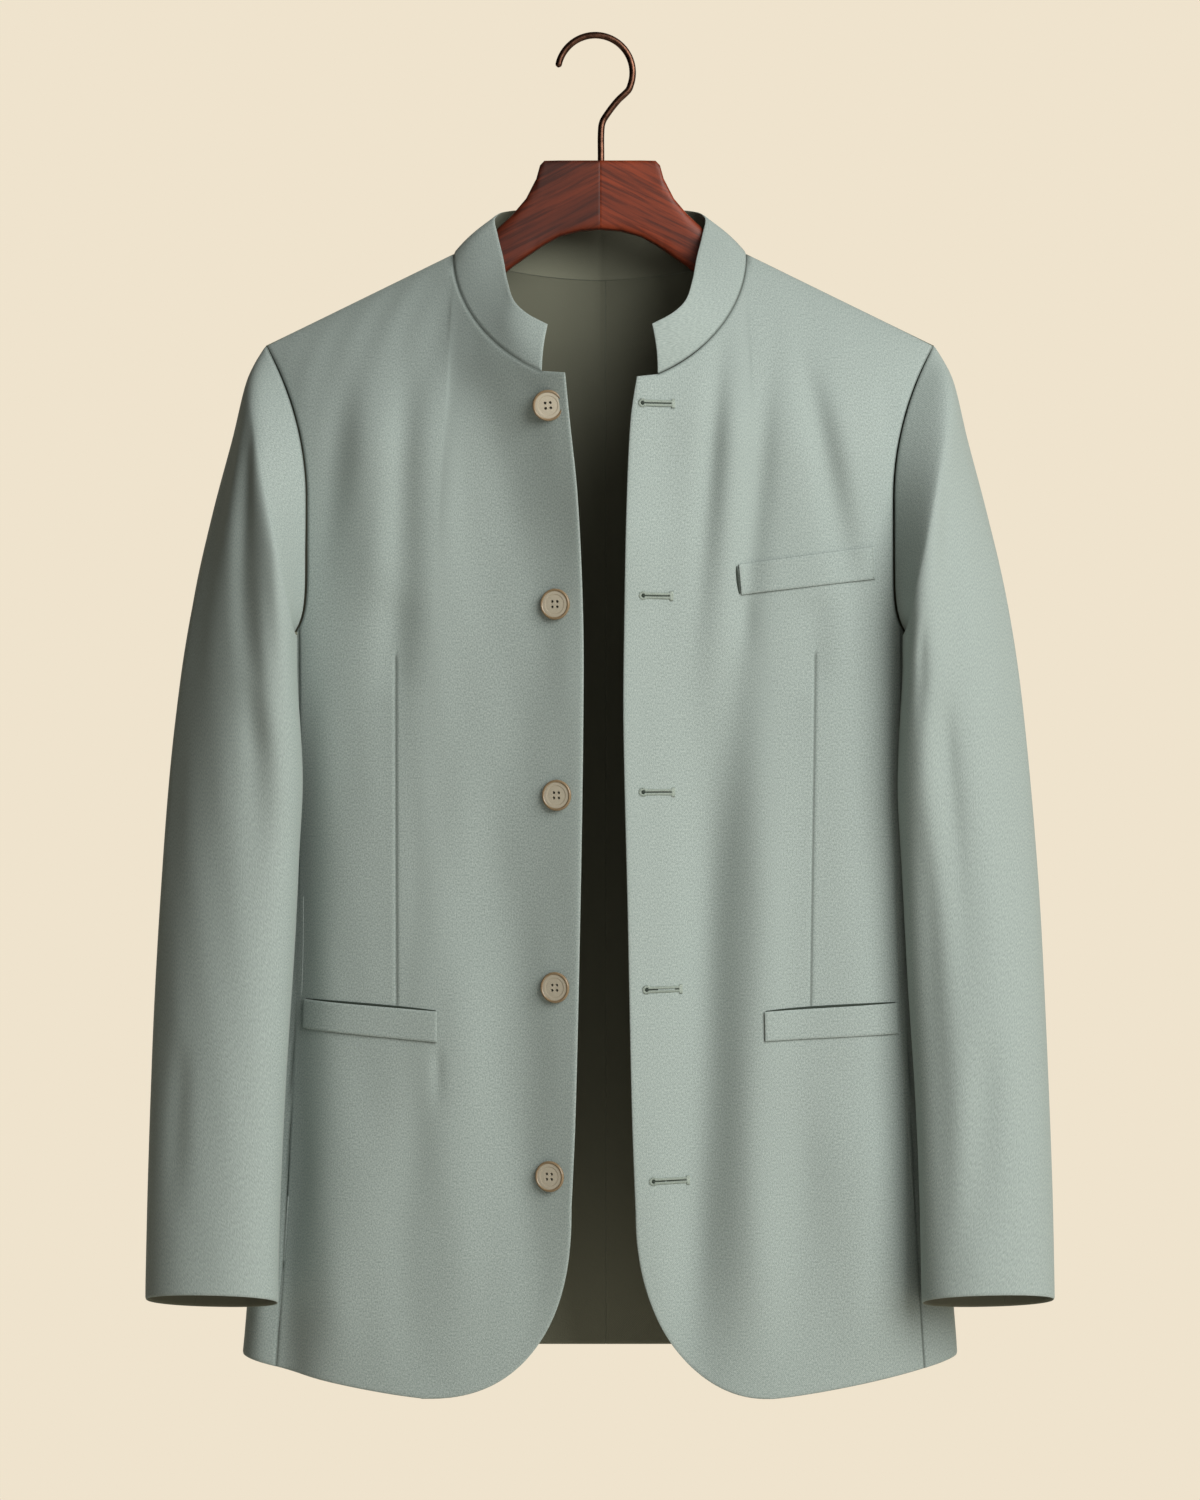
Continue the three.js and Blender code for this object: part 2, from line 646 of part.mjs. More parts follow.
function panelGeometry(side, facing) {
  const places = facing < 0 ? frontPanel(side) : backPanel(side);
  return wall(places, (out, drop) => bodyPoint(side, facing, out, drop), {
    step: [0.5, 0.5],
    inside: BODY_INSIDE,
    trim: { start: facing > 0 ? HALF_GAP : 0, end: HALF_GAP },
    bend: squareShoulder,
  });
}

// Side panel, by the angle round the section: negative towards the front, positive towards the back
const SIDE_PANEL = { rows: 12, cols: 8 };

function sectionPoint(side, angle, drop) {
  const section = lookUp(BODY, 'drop', drop);
  const depth = angle < 0 ? -section.front : section.back;
  const out = section.halfWidth * Math.cos(angle) ** (2 / SECTION_POWER);
  const y = depth * Math.abs(Math.sin(angle)) ** (2 / SECTION_POWER);
  return new THREE.Vector3(side * out, y, -drop);
}

function sectionAngle(out, drop, facing) {
  const share = clamp(out / lookUp(BODY, 'drop', drop).halfWidth, 0, 1);
  return facing * Math.acos(share ** (SECTION_POWER / 2));
}

function sidePanelGeometry(side) {
  const places = steps(SIDE_PANEL.rows, (v) => steps(SIDE_PANEL.cols, (u) => {
    const facing = u < 0.5 ? -1 : 1;
    const turn = mix(SIDE_SEAM_ANGLE, Math.PI, 1 - Math.abs(2 * u - 1));
    const topPlace = armholePlace(facing, Math.cos(turn));
    const frontAngle = sectionAngle(SIDE_SEAM.bottomOut, SIDE_SEAM.bottomDrop, -1);
    const backAngle = sectionAngle(SIDE_SEAM.bottomOut, HEM_BACK_DROP, 1);
    const hemAngle = mix(frontAngle, backAngle, u);
    const hemOut = sectionPoint(1, hemAngle, HEM_SIDE_DROP).x;
    const bottomDrop = hemDrop(facing, hemOut);
    const drop = mix(topPlace.drop, bottomDrop, v);
    const topAngle = sectionAngle(topPlace.out, topPlace.drop, facing);
    if (u === 0 || u === 1) {
      return [sectionAngle(sideSeamOut(facing, drop), drop, facing), drop];
    }
    return [mix(topAngle, hemAngle, v), drop];
  }));
  return wall(places, (angle, drop) => sectionPoint(side, angle, drop), {
    step: [0.004, 0.5],
    inside: BODY_INSIDE,
    trim: { start: HALF_GAP, end: HALF_GAP, top: SEAM_GAP },
  });
}

// Collar band, by the share from one front end (-1) round the back (0) to the other (1) and the
// share of its height
const COLLAR_ROWS = 3;

function collarBase(share) {
  const side = share < 0 ? -1 : 1;
  const part = Math.abs(share);
  if (part <= COLLAR.sideShare) {
    const out = NECK_OUT * (part / COLLAR.sideShare);
    return bodyPoint(side, 1, out, neckBack(out));
  }
  const turnEnd = Math.acos((COLLAR_END_OUT / NECK_OUT) ** (NECK_POWER / 2));
  const angle = turnEnd * ((part - COLLAR.sideShare) / (1 - COLLAR.sideShare));
  const out = NECK_OUT * Math.cos(angle) ** (2 / NECK_POWER);
  return bodyPoint(side, -1, out, neckFront(out));
}

function collarPoint(share, height) {
  const part = clamp(Math.abs(share), 0, 1);
  const side = share < 0 ? -1 : 1;
  const base = collarBase(clamp(share, -1, 1));
  const edge = lookUp(COLLAR_TOP, 'share', part);
  const top = new THREE.Vector3(side * edge.out, -edge.forward, -edge.drop);
  const rise = top.clone().sub(base);
  const point = base.clone().addScaledVector(rise, height);
  const away = new THREE.Vector3(base.x, base.y, 0).normalize();
  point.addScaledVector(away, COLLAR.bow * Math.sin(Math.PI * clamp(height, 0, 1)));
  return point.addScaledVector(rise.normalize(), COLLAR.gap * (1 - height));
}

// The band's columns end at the same points of the neck seam as the columns of the panels
function collarShares() {
  const backCols = PANEL.neckCols;
  const frontCols = PANEL.neckCols - PANEL.stepCols;
  const shares = [];
  for (const side of [-1, 1]) {
    const first = (side * CENTRE_BACK_OUT * COLLAR.sideShare) / NECK_OUT;
    const back = steps(backCols, (t) => side * mix(first, COLLAR.sideShare, t));
    const front = steps(frontCols, (t) => side * mix(COLLAR.sideShare, 1, t)).slice(1);
    const half = [...back.slice(side < 0 ? 1 : 0), ...front];
    shares.push(...(side < 0 ? half.reverse() : half));
  }
  return shares;
}

function collarGeometry() {
  const shares = collarShares();
  const places = steps(COLLAR_ROWS, (v) => shares.map((share) => [share, v]));
  return wall(places, collarPoint, {
    step: [0.004, 0.02],
    inside: new THREE.Vector3(0, 0, -COLLAR.insideDrop),
  });
}

// Sleeve: rings of points, the first of them the armhole
function sleeveRings(side) {
  const angles = (angle) => {
    const facing = Math.sin(angle) > 0 ? -1 : 1;
    const place = armholePlace(facing, Math.cos(angle));
    const point = bodyPoint(side, facing, place.out, place.drop);
    return point.add(new THREE.Vector3(side * SEAM_GAP, 0, 0));
  };
  const round = ({ outer, inner, depth, slant }) => (angle) => {
    const across = rounded(Math.cos(angle), SLEEVE_POWER);
    const through = rounded(Math.sin(angle), SLEEVE_POWER);
    const [out, drop, forward] = [0, 1, 2].map((k) => mix(inner[k], outer[k], (1 + across) / 2));
    return new THREE.Vector3(side * out, -(forward + depth * through), slant * through - drop);
  };
  return [angles, ...SLEEVE.map(round)];
}

// Push a point of the sleeve out to where it just clears the side of the body
function clearOfBody(point, ring) {
  const section = lookUp(BODY, 'drop', -point.z);
  const clearance = SLEEVE_CLEARANCE.distance * clamp(ring, 0, 1);
  const halfWidth = section.halfWidth + clearance;
  const depth = (point.y < 0 ? section.front : section.back) + clearance;
  const across = Math.abs(point.x / halfWidth) ** SECTION_POWER;
  const through = Math.abs(point.y / depth) ** SECTION_POWER;
  const size = (across + through) ** (1 / SECTION_POWER);
  const below = ease((-point.z - SLEEVE_CLEARANCE.fromDrop) / SLEEVE_CLEARANCE.within);
  const push = size < 1 ? mix(1, 1 / size, below) : 1;
  return new THREE.Vector3(point.x * push, point.y * push, point.z);
}

// Slope between two runs that never swings past either of them
function steadySlope(before, after) {
  return before * after > 0 ? (2 * before * after) / (before + after) : 0;
}

function sleevePoint(rings, side, angle, ring) {
  const last = rings.length - 1;
  const i = clamp(Math.floor(ring), 0, last - 1);
  const t = ring - i;
  const around = [i - 1, i, i + 1, i + 2].map((k) => rings[clamp(k, 0, last)](angle));
  const [before, low, high, after] = around;
  const point = new THREE.Vector3();
  for (const axis of ['x', 'y', 'z']) {
    const run = high[axis] - low[axis];
    const slopeLow = i > 0 ? steadySlope(low[axis] - before[axis], run) : run;
    const slopeHigh = i < last - 1 ? steadySlope(run, after[axis] - high[axis]) : run;
    point[axis] = hermite(low[axis], high[axis], slopeLow, slopeHigh, t);
  }
  const clear = clearOfBody(point, ring);
  const table = side < 0 ? SLEEVE_FOLDS.left : SLEEVE_FOLDS.right;
  const turn = ((angle % (2 * Math.PI)) + 2 * Math.PI) % (2 * Math.PI);
  const { round, down } = SLEEVE_REACH;
  const fold = foldHeight(table, turn, ring / last, ['angle', 'share'], round, down);
  const middleOf = (k) => rings[k](0).add(rings[k](Math.PI)).multiplyScalar(0.5);
  const centre = middleOf(i).lerp(middleOf(i + 1), t);
  const away = new THREE.Vector3(clear.x - centre.x, clear.y - centre.y, 0).normalize();
  return clear.addScaledVector(away, fold);
}

const RING_STAGES = [0, 0.3, 0.65, 1, 1.5, 2, 2.5, 3, 3.5, 4, 4.5, 5, 5.6, 6.3, 7, 8, 9, 10];

// Angles round the armhole, from the top over the front, at the corners of the panels' own grids
function armholeAngles() {
  const front = steps(PANEL.armholeRows, armholeAngle);
  const under = steps(SIDE_PANEL.cols, (u) => mix(SIDE_SEAM_ANGLE, 2 * Math.PI - SIDE_SEAM_ANGLE, u));
  const back = front.map((angle) => 2 * Math.PI - angle).reverse();
  return [...front, ...under.slice(1), ...back.slice(1)];
}

// Columns of the two parts of a sleeve. Their seams lie under the inner edge and behind the elbow.
const SLEEVE_SEAM_COLUMNS = {
  front: PANEL.armholeRows + 6,
  back: PANEL.armholeRows + SIDE_PANEL.cols + 3,
};

function sleeveAngles(part) {
  const angles = armholeAngles();
  const { front, back } = SLEEVE_SEAM_COLUMNS;
  if (part === 'under') {
    return angles.slice(front, back + 1);
  }
  const behind = angles.slice(back, -1).map((angle) => angle - 2 * Math.PI);
  return [...behind, ...angles.slice(0, front + 1)];
}

function sleeveGeometry(side, part) {
  const rings = sleeveRings(side);
  const angles = sleeveAngles(part);
  const places = RING_STAGES.map((ring) => angles.map((angle) => [angle, ring]));
  const middleDrop = (SHOULDER_DROP + UNDERARM_DROP) / 2;
  const squareArmhole = (i, j, inward, point) => {
    if (i > 0) {
      return inward;
    }
    return new THREE.Vector3(0, -point.y, -middleDrop - point.z).normalize();
  };
  const lastRing = rings.length - 1;
  return wall(places, (angle, ring) => sleevePoint(rings, side, angle, clamp(ring, 0, lastRing)), {
    step: [0.02, 0.02],
    inside: new THREE.Vector3(side * SLEEVE_INSIDE.out, -SLEEVE_INSIDE.forward, -SLEEVE_INSIDE.drop),
    trim: { start: SLEEVE_TRIM, end: SLEEVE_TRIM },
    bend: squareArmhole,
  });
}

// A welt lies on its front, from that front's own points moved out
function weltGeometry(welt) {
  const [a, b, c, d] = welt.corners;
  const places = steps(2, (v) => steps(8, (u) => [
    mix(mix(a.out, b.out, u), mix(d.out, c.out, u), v),
    mix(mix(a.drop, b.drop, u), mix(d.drop, c.drop, u), v),
  ]));
  return wall(places, (out, drop) => bodyPoint(welt.side, -1, out, drop), {
    step: [0.5, 0.5],
    inside: BODY_INSIDE,
    thickness: WELT_THICKNESS,
    lift: WELT_LIFT + WELT_THICKNESS,
  });
}

function toManifold(geometry) {
  const bare = geometry.clone();
  bare.deleteAttribute('normal');
  bare.deleteAttribute('uv');
  const merged = mergeVertices(bare, 1e-4);
  return new wasm.Manifold(new wasm.Mesh({
    numProp: 3,
    vertProperties: new Float32Array(merged.attributes.position.array),
    triVerts: new Uint32Array(merged.index.array),
  }));
}

function fromManifold(body) {
  const mesh = body.getMesh();
  const geometry = new THREE.BufferGeometry();
  geometry.setAttribute('position', new THREE.BufferAttribute(mesh.vertProperties, 3));
  geometry.setIndex(new THREE.BufferAttribute(mesh.triVerts, 1));
  return geometry;
}

// Round button with a raised rim and four holes, its back on the plane z = 0
function buttonGeometry() {
  const { radius, thickness, round, rimWidth, recess, holeRadius, holePitch } = BUTTON;
  const profile = [
    [0, 0],
    [radius - round, 0],
    [radius, round],
    [radius, thickness - round],
    [radius - round, thickness],
    [radius - rimWidth, thickness],
    [radius - rimWidth - round, thickness - recess],
    [0, thickness - recess],
  ].map(([r, z]) => new THREE.Vector2(r, z));
  const disc = new THREE.LatheGeometry(profile, 16);
  disc.rotateX(Math.PI / 2);
  let body = toManifold(disc);
  for (const [x, y] of [[1, 1], [1, -1], [-1, 1], [-1, -1]]) {
    const hole = new THREE.CylinderGeometry(holeRadius, holeRadius, thickness * 3, 6);
    hole.rotateX(Math.PI / 2);
    hole.translate(x * holePitch, y * holePitch, 0);
    body = body.subtract(toManifold(hole));
  }
  return fromManifold(body);
}

function placeButton(mesh, row, cloth) {
  const reach = 0.6;
  const near = (across, down) => bodyPoint(-1, -1, row.out - across * reach, row.drop + down * reach);
  const centre = near(0, 0);
  const acrossStep = near(1, 0).sub(near(-1, 0));
  const downStep = near(0, 1).sub(near(0, -1));
  const normal = acrossStep.cross(downStep).normalize();
  if (normal.y > 0) {
    normal.negate();
  }
  mesh.quaternion.setFromUnitVectors(new THREE.Vector3(0, 0, 1), normal);
  const height = seatHeight(centre, mesh.quaternion, normal, cloth);
  mesh.position.copy(centre).addScaledVector(normal, height);
}

// Height above a place at which a button's back just clears the cloth under it
function seatHeight(centre, quaternion, normal, cloth) {
  const raised = 20;
  const turns = 12;
  const downward = normal.clone().negate();
  const ray = new THREE.Raycaster();
  let nearest = Infinity;
  for (const share of [0, 0.5, 1]) {
    for (let turn = 0; turn < turns; turn += 1) {
      const angle = (2 * Math.PI * turn) / turns;
      const reach = share * BUTTON.radius;
      const offset = new THREE.Vector3(reach * Math.cos(angle), reach * Math.sin(angle), 0);
      const from = centre.clone().add(offset.applyQuaternion(quaternion)).addScaledVector(normal, raised);
      ray.set(from, downward);
      for (const hit of ray.intersectObject(cloth)) {
        nearest = Math.min(nearest, hit.distance);
      }
    }
  }
  return raised - nearest + SEAM_GAP;
}

// One half of the hanger, closed at both ends, with its part of the hook's bore
function hangerGeometry(side) {
  const vertices = [];
  const faces = [];
  for (const row of HANGER) {
    const middle = -(row.top + row.bottom) / 2;
    const half = (row.bottom - row.top) / 2;
    for (let k = 0; k < HANGER_SECTION_POINTS; k += 1) {
      const angle = (2 * Math.PI * (k + 0.5)) / HANGER_SECTION_POINTS;
      const y = row.halfThick * rounded(Math.cos(angle), row.power);
      const z = half * rounded(Math.sin(angle), row.power);
      vertices.push(new THREE.Vector3(side * row.out, y, middle + z));
    }
  }
  const count = HANGER_SECTION_POINTS;
  for (let i = 0; i < HANGER.length - 1; i += 1) {
    for (let k = 0; k < count; k += 1) {
      const next = (k + 1) % count;
      const a = i * count + k;
      const b = i * count + next;
      faces.push([a, b, b + count], [a, b + count, a + count]);
    }
  }
  const lastRing = (HANGER.length - 1) * count;
  for (let k = 1; k < count - 1; k += 1) {
    faces.push([0, k + 1, k], [lastRing, lastRing + k, lastRing + k + 1]);
  }
  const bore = new THREE.CylinderGeometry(HOOK.bore, HOOK.bore, 2 * HOOK.boreDepth, 12);
  bore.rotateX(Math.PI / 2);
  bore.translate(HOOK.stemOut, 0, -HANGER[0].top);
  return fromManifold(toManifold(solid(vertices, faces)).subtract(toManifold(bore)));
}

function hookGeometry() {
  const degree = Math.PI / 180;
  const centre = new THREE.Vector3(-HOOK_SHIFT, 0, HOOK.wireRadius - HOOK.arcRadius);
  const route = [];
  for (let angle = HOOK.tipAngle; angle >= HOOK.endAngle; angle -= HOOK.turn) {
    route.push(centre.clone().add(new THREE.Vector3(
      HOOK.arcRadius * Math.cos(angle * degree), 0, HOOK.arcRadius * Math.sin(angle * degree),
    )));
  }
  const stemBottom = -(HANGER[0].top + HOOK.boreDepth - SEAM_GAP * 2);
  for (const [out, drop] of HOOK.bend) {
    route.push(new THREE.Vector3(out, 0, -drop));
  }
  route.push(new THREE.Vector3(HOOK.stemOut, 0, stemBottom));
  const section = new THREE.Shape();
  section.absarc(0, 0, HOOK.wireRadius, 0, Math.PI * 2, false);
  return new THREE.ExtrudeGeometry(section, {
    steps: 40,
    curveSegments: 5,
    bevelEnabled: false,
    extrudePath: new THREE.CatmullRomCurve3(route, false, 'centripetal'),
  });
}

function material(colour, roughness, metalness) {
  return new THREE.MeshStandardMaterial({ color: colour, roughness, metalness });
}

const garment = new THREE.Group();

function add(name, geometry, meshMaterial) {
  const mesh = new THREE.Mesh(geometry, meshMaterial);
  mesh.name = name;
  garment.add(mesh);
  return mesh;
}

for (const side of [-1, 1]) {
  const hand = side < 0 ? 'left' : 'right';
  add(`front_${hand}`, panelGeometry(side, -1), material(COLOURS.cloth, 0.85, 0));
  add(`back_${hand}`, panelGeometry(side, 1), material(COLOURS.cloth, 0.85, 0));
  add(`side_${hand}`, sidePanelGeometry(side), material(COLOURS.cloth, 0.85, 0));
  add(`upper_sleeve_${hand}`, sleeveGeometry(side, 'upper'), material(COLOURS.cloth, 0.85, 0));
  add(`under_sleeve_${hand}`, sleeveGeometry(side, 'under'), material(COLOURS.cloth, 0.85, 0));
  add(`hanger_${hand}`, hangerGeometry(side), material(COLOURS.wood, 0.4, 0));
}
add('collar', collarGeometry(), material(COLOURS.cloth, 0.85, 0));
for (const [name, welt] of Object.entries(WELTS)) {
  add(name, weltGeometry(welt), material(COLOURS.cloth, 0.85, 0));
}
const buttonedFront = garment.getObjectByName('front_left');
BUTTON_ROWS.forEach((row, index) => {
  const button = add(`button_${index + 1}`, buttonGeometry(), material(COLOURS.button, 0.35, 0));
  placeButton(button, row, buttonedFront);
});
add('hook', hookGeometry(), material(COLOURS.hook, 0.35, 0.9));

// The hook, not the middle of the garment, is over the origin
garment.position.x = HOOK_SHIFT;

export default garment;
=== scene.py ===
# Long sleeved jacket with a mandarin collar, hanging open on a wooden hanger.
# Tables are in millimetres, +Z up, the fronts face -Y. "out" is the distance from the middle of the
# garment, "drop" the distance below the inside of the hook's top, "forward" the distance towards -Y.

import math
import random

import bmesh
import bpy
import numpy as np
from mathutils import Matrix, Vector
from mathutils.kdtree import KDTree


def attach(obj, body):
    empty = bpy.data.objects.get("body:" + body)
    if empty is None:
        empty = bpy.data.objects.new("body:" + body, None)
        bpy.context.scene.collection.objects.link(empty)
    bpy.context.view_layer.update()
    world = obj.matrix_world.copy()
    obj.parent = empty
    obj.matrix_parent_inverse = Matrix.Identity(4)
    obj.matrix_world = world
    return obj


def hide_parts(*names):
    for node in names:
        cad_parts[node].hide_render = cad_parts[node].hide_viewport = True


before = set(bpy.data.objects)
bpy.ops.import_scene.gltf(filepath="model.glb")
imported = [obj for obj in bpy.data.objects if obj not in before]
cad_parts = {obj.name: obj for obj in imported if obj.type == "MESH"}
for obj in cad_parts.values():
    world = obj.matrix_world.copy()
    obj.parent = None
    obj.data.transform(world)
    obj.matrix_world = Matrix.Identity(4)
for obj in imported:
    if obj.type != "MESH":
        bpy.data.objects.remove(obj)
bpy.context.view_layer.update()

MM = 0.001
random.seed(7)
FINE = 2
HAND = {-1: "left", 1: "right"}

# Cloth
CLOTH = 1.5
SEAM_GAP = 0.3
SECTION_POWER = 2.5
# How soon folds reach their full height, going in from the side edge of the section
FOLD_EDGE = 1.5
# Step along a front or back for its normals
BODY_STEP = 0.5

# Cut
NECK_OUT = 100.4
NECK_DROP = 147
SHOULDER_OUT = 228
SHOULDER_DROP = 209.5
UNDERARM_DROP = 425
NECK_FRONT_DEPTH = 97.5
NECK_BACK_DEPTH = 13
NECK_POWER = 1.9
NECK_BACK_POWER = 2.2
COLLAR_END_OUT = 39
FRONT_TOP_DROP = 237.5
HEM_DROP = 919.5
HEM_SIDE_DROP = 896.5
HEM_BACK_DROP = 899.5
HEM_STRAIGHT_OUT = 115
HEM_END_OUT = 246
HEM_POWER = 1.3
CENTRE_BACK_OUT = 4
SEAM_SIDE = {"bottom_out": 219, "top_drop": 403, "bottom_drop": 902}
SHIFT = 3.3

HEM_CORNER = {
    -1: {"start_drop": 790, "end_out": 119, "power": 2.4},
    1: {"start_drop": 795, "end_out": 113.5, "power": 2.1},
}


def table(columns, rows):
    names = columns.split()
    return {name: np.array([row[i] for row in rows], float) for i, name in enumerate(names)}


BODY = table("drop half_width front back", [
    (205, 236, 73, 55),
    (320, 233, 77, 58),
    (430, 231, 78, 60),
    (620, 226, 74, 58),
    (770, 234, 71, 58),
    (925, 246, 70, 60),
])

FALL = {"neck": 145, "tip": 90, "power": 0.75}

FRONT_EDGE = table("drop left right", [
    (237.5, 23.5, 24.7),
    (266, 20.7, 20.6),
    (320, 15.2, 18),
    (400, 11.5, 16.3),
    (470, 11.4, 15.8),
    (590, 13.3, 18.6),
    (730, 16.7, 21.6),
    (795, 19.6, 24),
])

ARMHOLE = {
    "front_out": 197,
    "back_out": 193,
    "upper_power": 2,
    "lower_power": 8,
    "seam_at": -0.8,
    "spread": 0.62,
}

# Folds: where each starts and ends, its half width, and its height. A negative height sinks.
FRONT_FOLDS = {
    -1: [
        (4, 240, -2, 980, 36, 15),
        (146, 235, 143, 410, 24, 3.5),
        (137, 375, 136, 455, 12, -1.5),
        (72, 470, 52, 860, 26, -3.5),
        (100, 560, 92, 930, 26, 3),
        (165, 690, 172, 930, 26, 3),
        (206, 400, 217, 1020, 18, -15),
    ],
    1: [
        (4, 170, 0, 900, 36, 15),
        (18, 190, 6, 400, 40, 7),
        (144, 375, 143, 455, 12, -2),
        (77, 400, 60, 960, 20, -11),
        (112, 430, 100, 960, 20, 6),
        (180, 190, 186, 960, 42, 5),
        (176, 700, 184, 930, 24, 3),
    ],
}
BACK_FOLDS = [
    (60, 205, 40, 420, 22, 3),
    (120, 190, 150, 360, 16, -4),
    (90, 560, 105, 930, 34, 4),
    (160, 640, 172, 930, 22, -4),
]

# Beside the collar the left front turns forward along a hinge line: its out and slope at each drop
FLAP = table("drop hinge slope", [
    (150, 112, 0.5),
    (219, 102, 0.5),
    (266, 73, 0.5),
    (319, 55, 0.48),
    (366, 42, 0.3),
    (430, 30, 0.05),
    (500, 20, 0),
])
FLAP_BEND = 8

# Creases that widen and fade along their length, in the same columns as the folds
FRONT_CREASES = {
    -1: [
        (128, 185, 138, 520, 12, -4),
        (112, 225, 112, 560, 17, 2.5),
        (171, 205, 188, 420, 13, -3.5),
        (158, 205, 166, 430, 13, 1.5),
        (108.5, 678, 108, 735, 4, -1.2),
        (120, 700, 128, 925, 14, -1.4),
    ],
    1: [
        (83, 180, 56, 500, 8, -4),
        (96, 190, 74, 480, 10, 2.5),
        (118, 180, 80, 560, 10, -4.5),
        (128, 180, 182, 440, 10, -5),
        (148, 190, 192, 420, 12, 2.5),
        (192, 220, 197, 320, 8, -2),
        (98, 378, 96, 430, 6, -1.2),
        (134, 700, 140, 925, 14, -1.4),
    ],
}

COLLAR_TOP = table("share out forward drop", [
    (0, 0, -41, 113.5),
    (0.15, 34, -37, 113.5),
    (0.3, 60, -22, 115),
    (0.46, 72, -1, 121.5),
    (0.56, 70, 12, 135),
    (0.68, 66, 29, 152),
    (0.8, 62.5, 49, 171),
    (0.88, 58, 64, 185),
    (0.94, 49, 73, 194.5),
    (1, 35, 79, 202.5),
])
COLLAR = {"side_share": 0.46, "bow": 2.2}

SLEEVE = table(
    "outer_out outer_drop outer_forward inner_out inner_drop inner_forward depth slant", [
        (240, 231, 0, 203, 409, 60, 50, 0),
        (251, 275, 0, 203, 428, 60, 54, 0),
        (264, 325, 1, 202, 450, 59, 54, 0),
        (276, 378, 3, 200.5, 476, 58, 54, 0),
        (286, 445, 7, 199.5, 510, 56, 52, 0),
        (293, 520, 14, 202, 560, 54, 49, 0),
        (299, 615, 25, 206, 635, 54, 46, 0),
        (302.5, 710, 36, 211, 718, 58, 42, 0),
        (304.5, 800, 46, 214, 802, 63, 39, 4),
        (305, 855, 52, 215, 855, 66, 38, 8.5),
    ])
SLEEVE_POWER = 2.2
SLEEVE_CLEARANCE = 5
CLEAR_BELOW = {"from": 330, "over": 60}
SLEEVE_REACH = {"round": 50, "down": 640}
SLEEVE_SEAMS = {"front": 3.464, "back": 5.007}

# Folds of the sleeves, by the angle round the sleeve and the share of its length
SLEEVE_FOLDS = {
    -1: [
        (0.95, 0.08, 2.2, 0.62, 11, -4.5),
        (0.75, 0.12, 1.35, 0.42, 12, 3),
        (1.75, 0.4, 2.15, 0.72, 13, -3.5),
        (4.2, 0.25, 4.9, 0.55, 14, -4),
    ],
    1: [
        (1.35, 0.08, 1.9, 0.6, 12, -3),
        (1.95, 0.36, 1.7, 0.85, 12, -7),
        (2.35, 0.5, 2.3, 1.05, 16, -4),
        (1.55, 0.74, 1.8, 0.97, 12, -3),
        (4.3, 0.22, 4.8, 0.5, 14, -4),
    ],
}
SLEEVE_CREASES = {
    -1: [
        (0.5, 0.3, 0.35, 0.9, 9, 2),
        (1.1, 0.75, 1.0, 0.92, 10, -2),
    ],
    1: [
        (0.5, 0.25, 0.4, 0.75, 8, 2),
        (2.2, 0.2, 2.3, 0.5, 8, -1.6),
    ],
}


def clamp(value, low, high):
    return np.clip(value, low, high)


def mix(a, b, t):
    return a + (b - a) * t


def ease(t):
    s = clamp(t, 0, 1)
    return s * s * (3 - 2 * s)


def hermite(p0, p1, m0, m1, t):
    t2 = t * t
    t3 = t2 * t
    places = (2 * t3 - 3 * t2 + 1) * p0 + (3 * t2 - 2 * t3) * p1
    return places + (t3 - 2 * t2 + t) * m0 + (t3 - t2) * m1


# Every column of a table, as smooth curves through its rows
def look_up(rows, key, value):
    value = np.asarray(value, float)
    keys = rows[key]
    i = np.searchsorted(keys[1:-1], value, side="left")
    before = np.maximum(i - 1, 0)
    after = np.minimum(i + 2, len(keys) - 1)
    span = keys[i + 1] - keys[i]
    t = clamp((value - keys[i]) / span, 0, 1)
    found = {}
    for name, column in rows.items():
        slope_low = (column[i + 1] - column[before]) / (keys[i + 1] - keys[before])
        slope_high = (column[after] - column[i]) / (keys[after] - keys[i])
        found[name] = hermite(column[i], column[i + 1], slope_low * span, slope_high * span, t)
    return found


# Height of all folds of a list at each place. They fade in over a share of their length at each
# end, and widen along it.
def fold_height(folds, a, b, scale_a=1, scale_b=1, fade_in=0.3, fade_out=0.3, widen=0):
    height = 0
    for a0, b0, a1, b1, width, rise in folds:
        run_a = (a1 - a0) * scale_a
        run_b = (b1 - b0) * scale_b
        from_a = (a - a0) * scale_a
        from_b = (b - b0) * scale_b
        length = math.hypot(run_a, run_b)
        along = (from_a * run_a + from_b * run_b) / (length * length)
        aside = (from_a * run_b - from_b * run_a) / length
        ends = ease(along / fade_in) * ease((1 - along) / fade_out)
        reach = width * (1 + widen * (clamp(along, 0, 1) - 0.4))
        height = height + rise * ends * np.exp(-((aside / reach) ** 2))
    return height


def shoulder_drop(out):
    slope = (SHOULDER_DROP - NECK_DROP) / (SHOULDER_OUT - NECK_OUT)
    return NECK_DROP + slope * (out - NECK_OUT)


# Share of the full depth that the cloth reaches at a distance below the shoulder line
def fall_share(out, drop):
    tip = clamp((out - NECK_OUT) / (SHOULDER_OUT - NECK_OUT), 0, 1)
    reach = mix(FALL["neck"], FALL["tip"], tip)
    below = clamp((drop - shoulder_drop(out)) / reach, 0, 1)
    return np.sin((math.pi / 2) * below) ** FALL["power"]


def body_folds(side, facing, out, drop):
    if facing > 0:
        return fold_height(BACK_FOLDS, out, drop)
    creases = fold_height(FRONT_CREASES[side], out, drop, fade_in=0.35, fade_out=0.6, widen=0.6)
    return fold_height(FRONT_FOLDS[side], out, drop) + creases


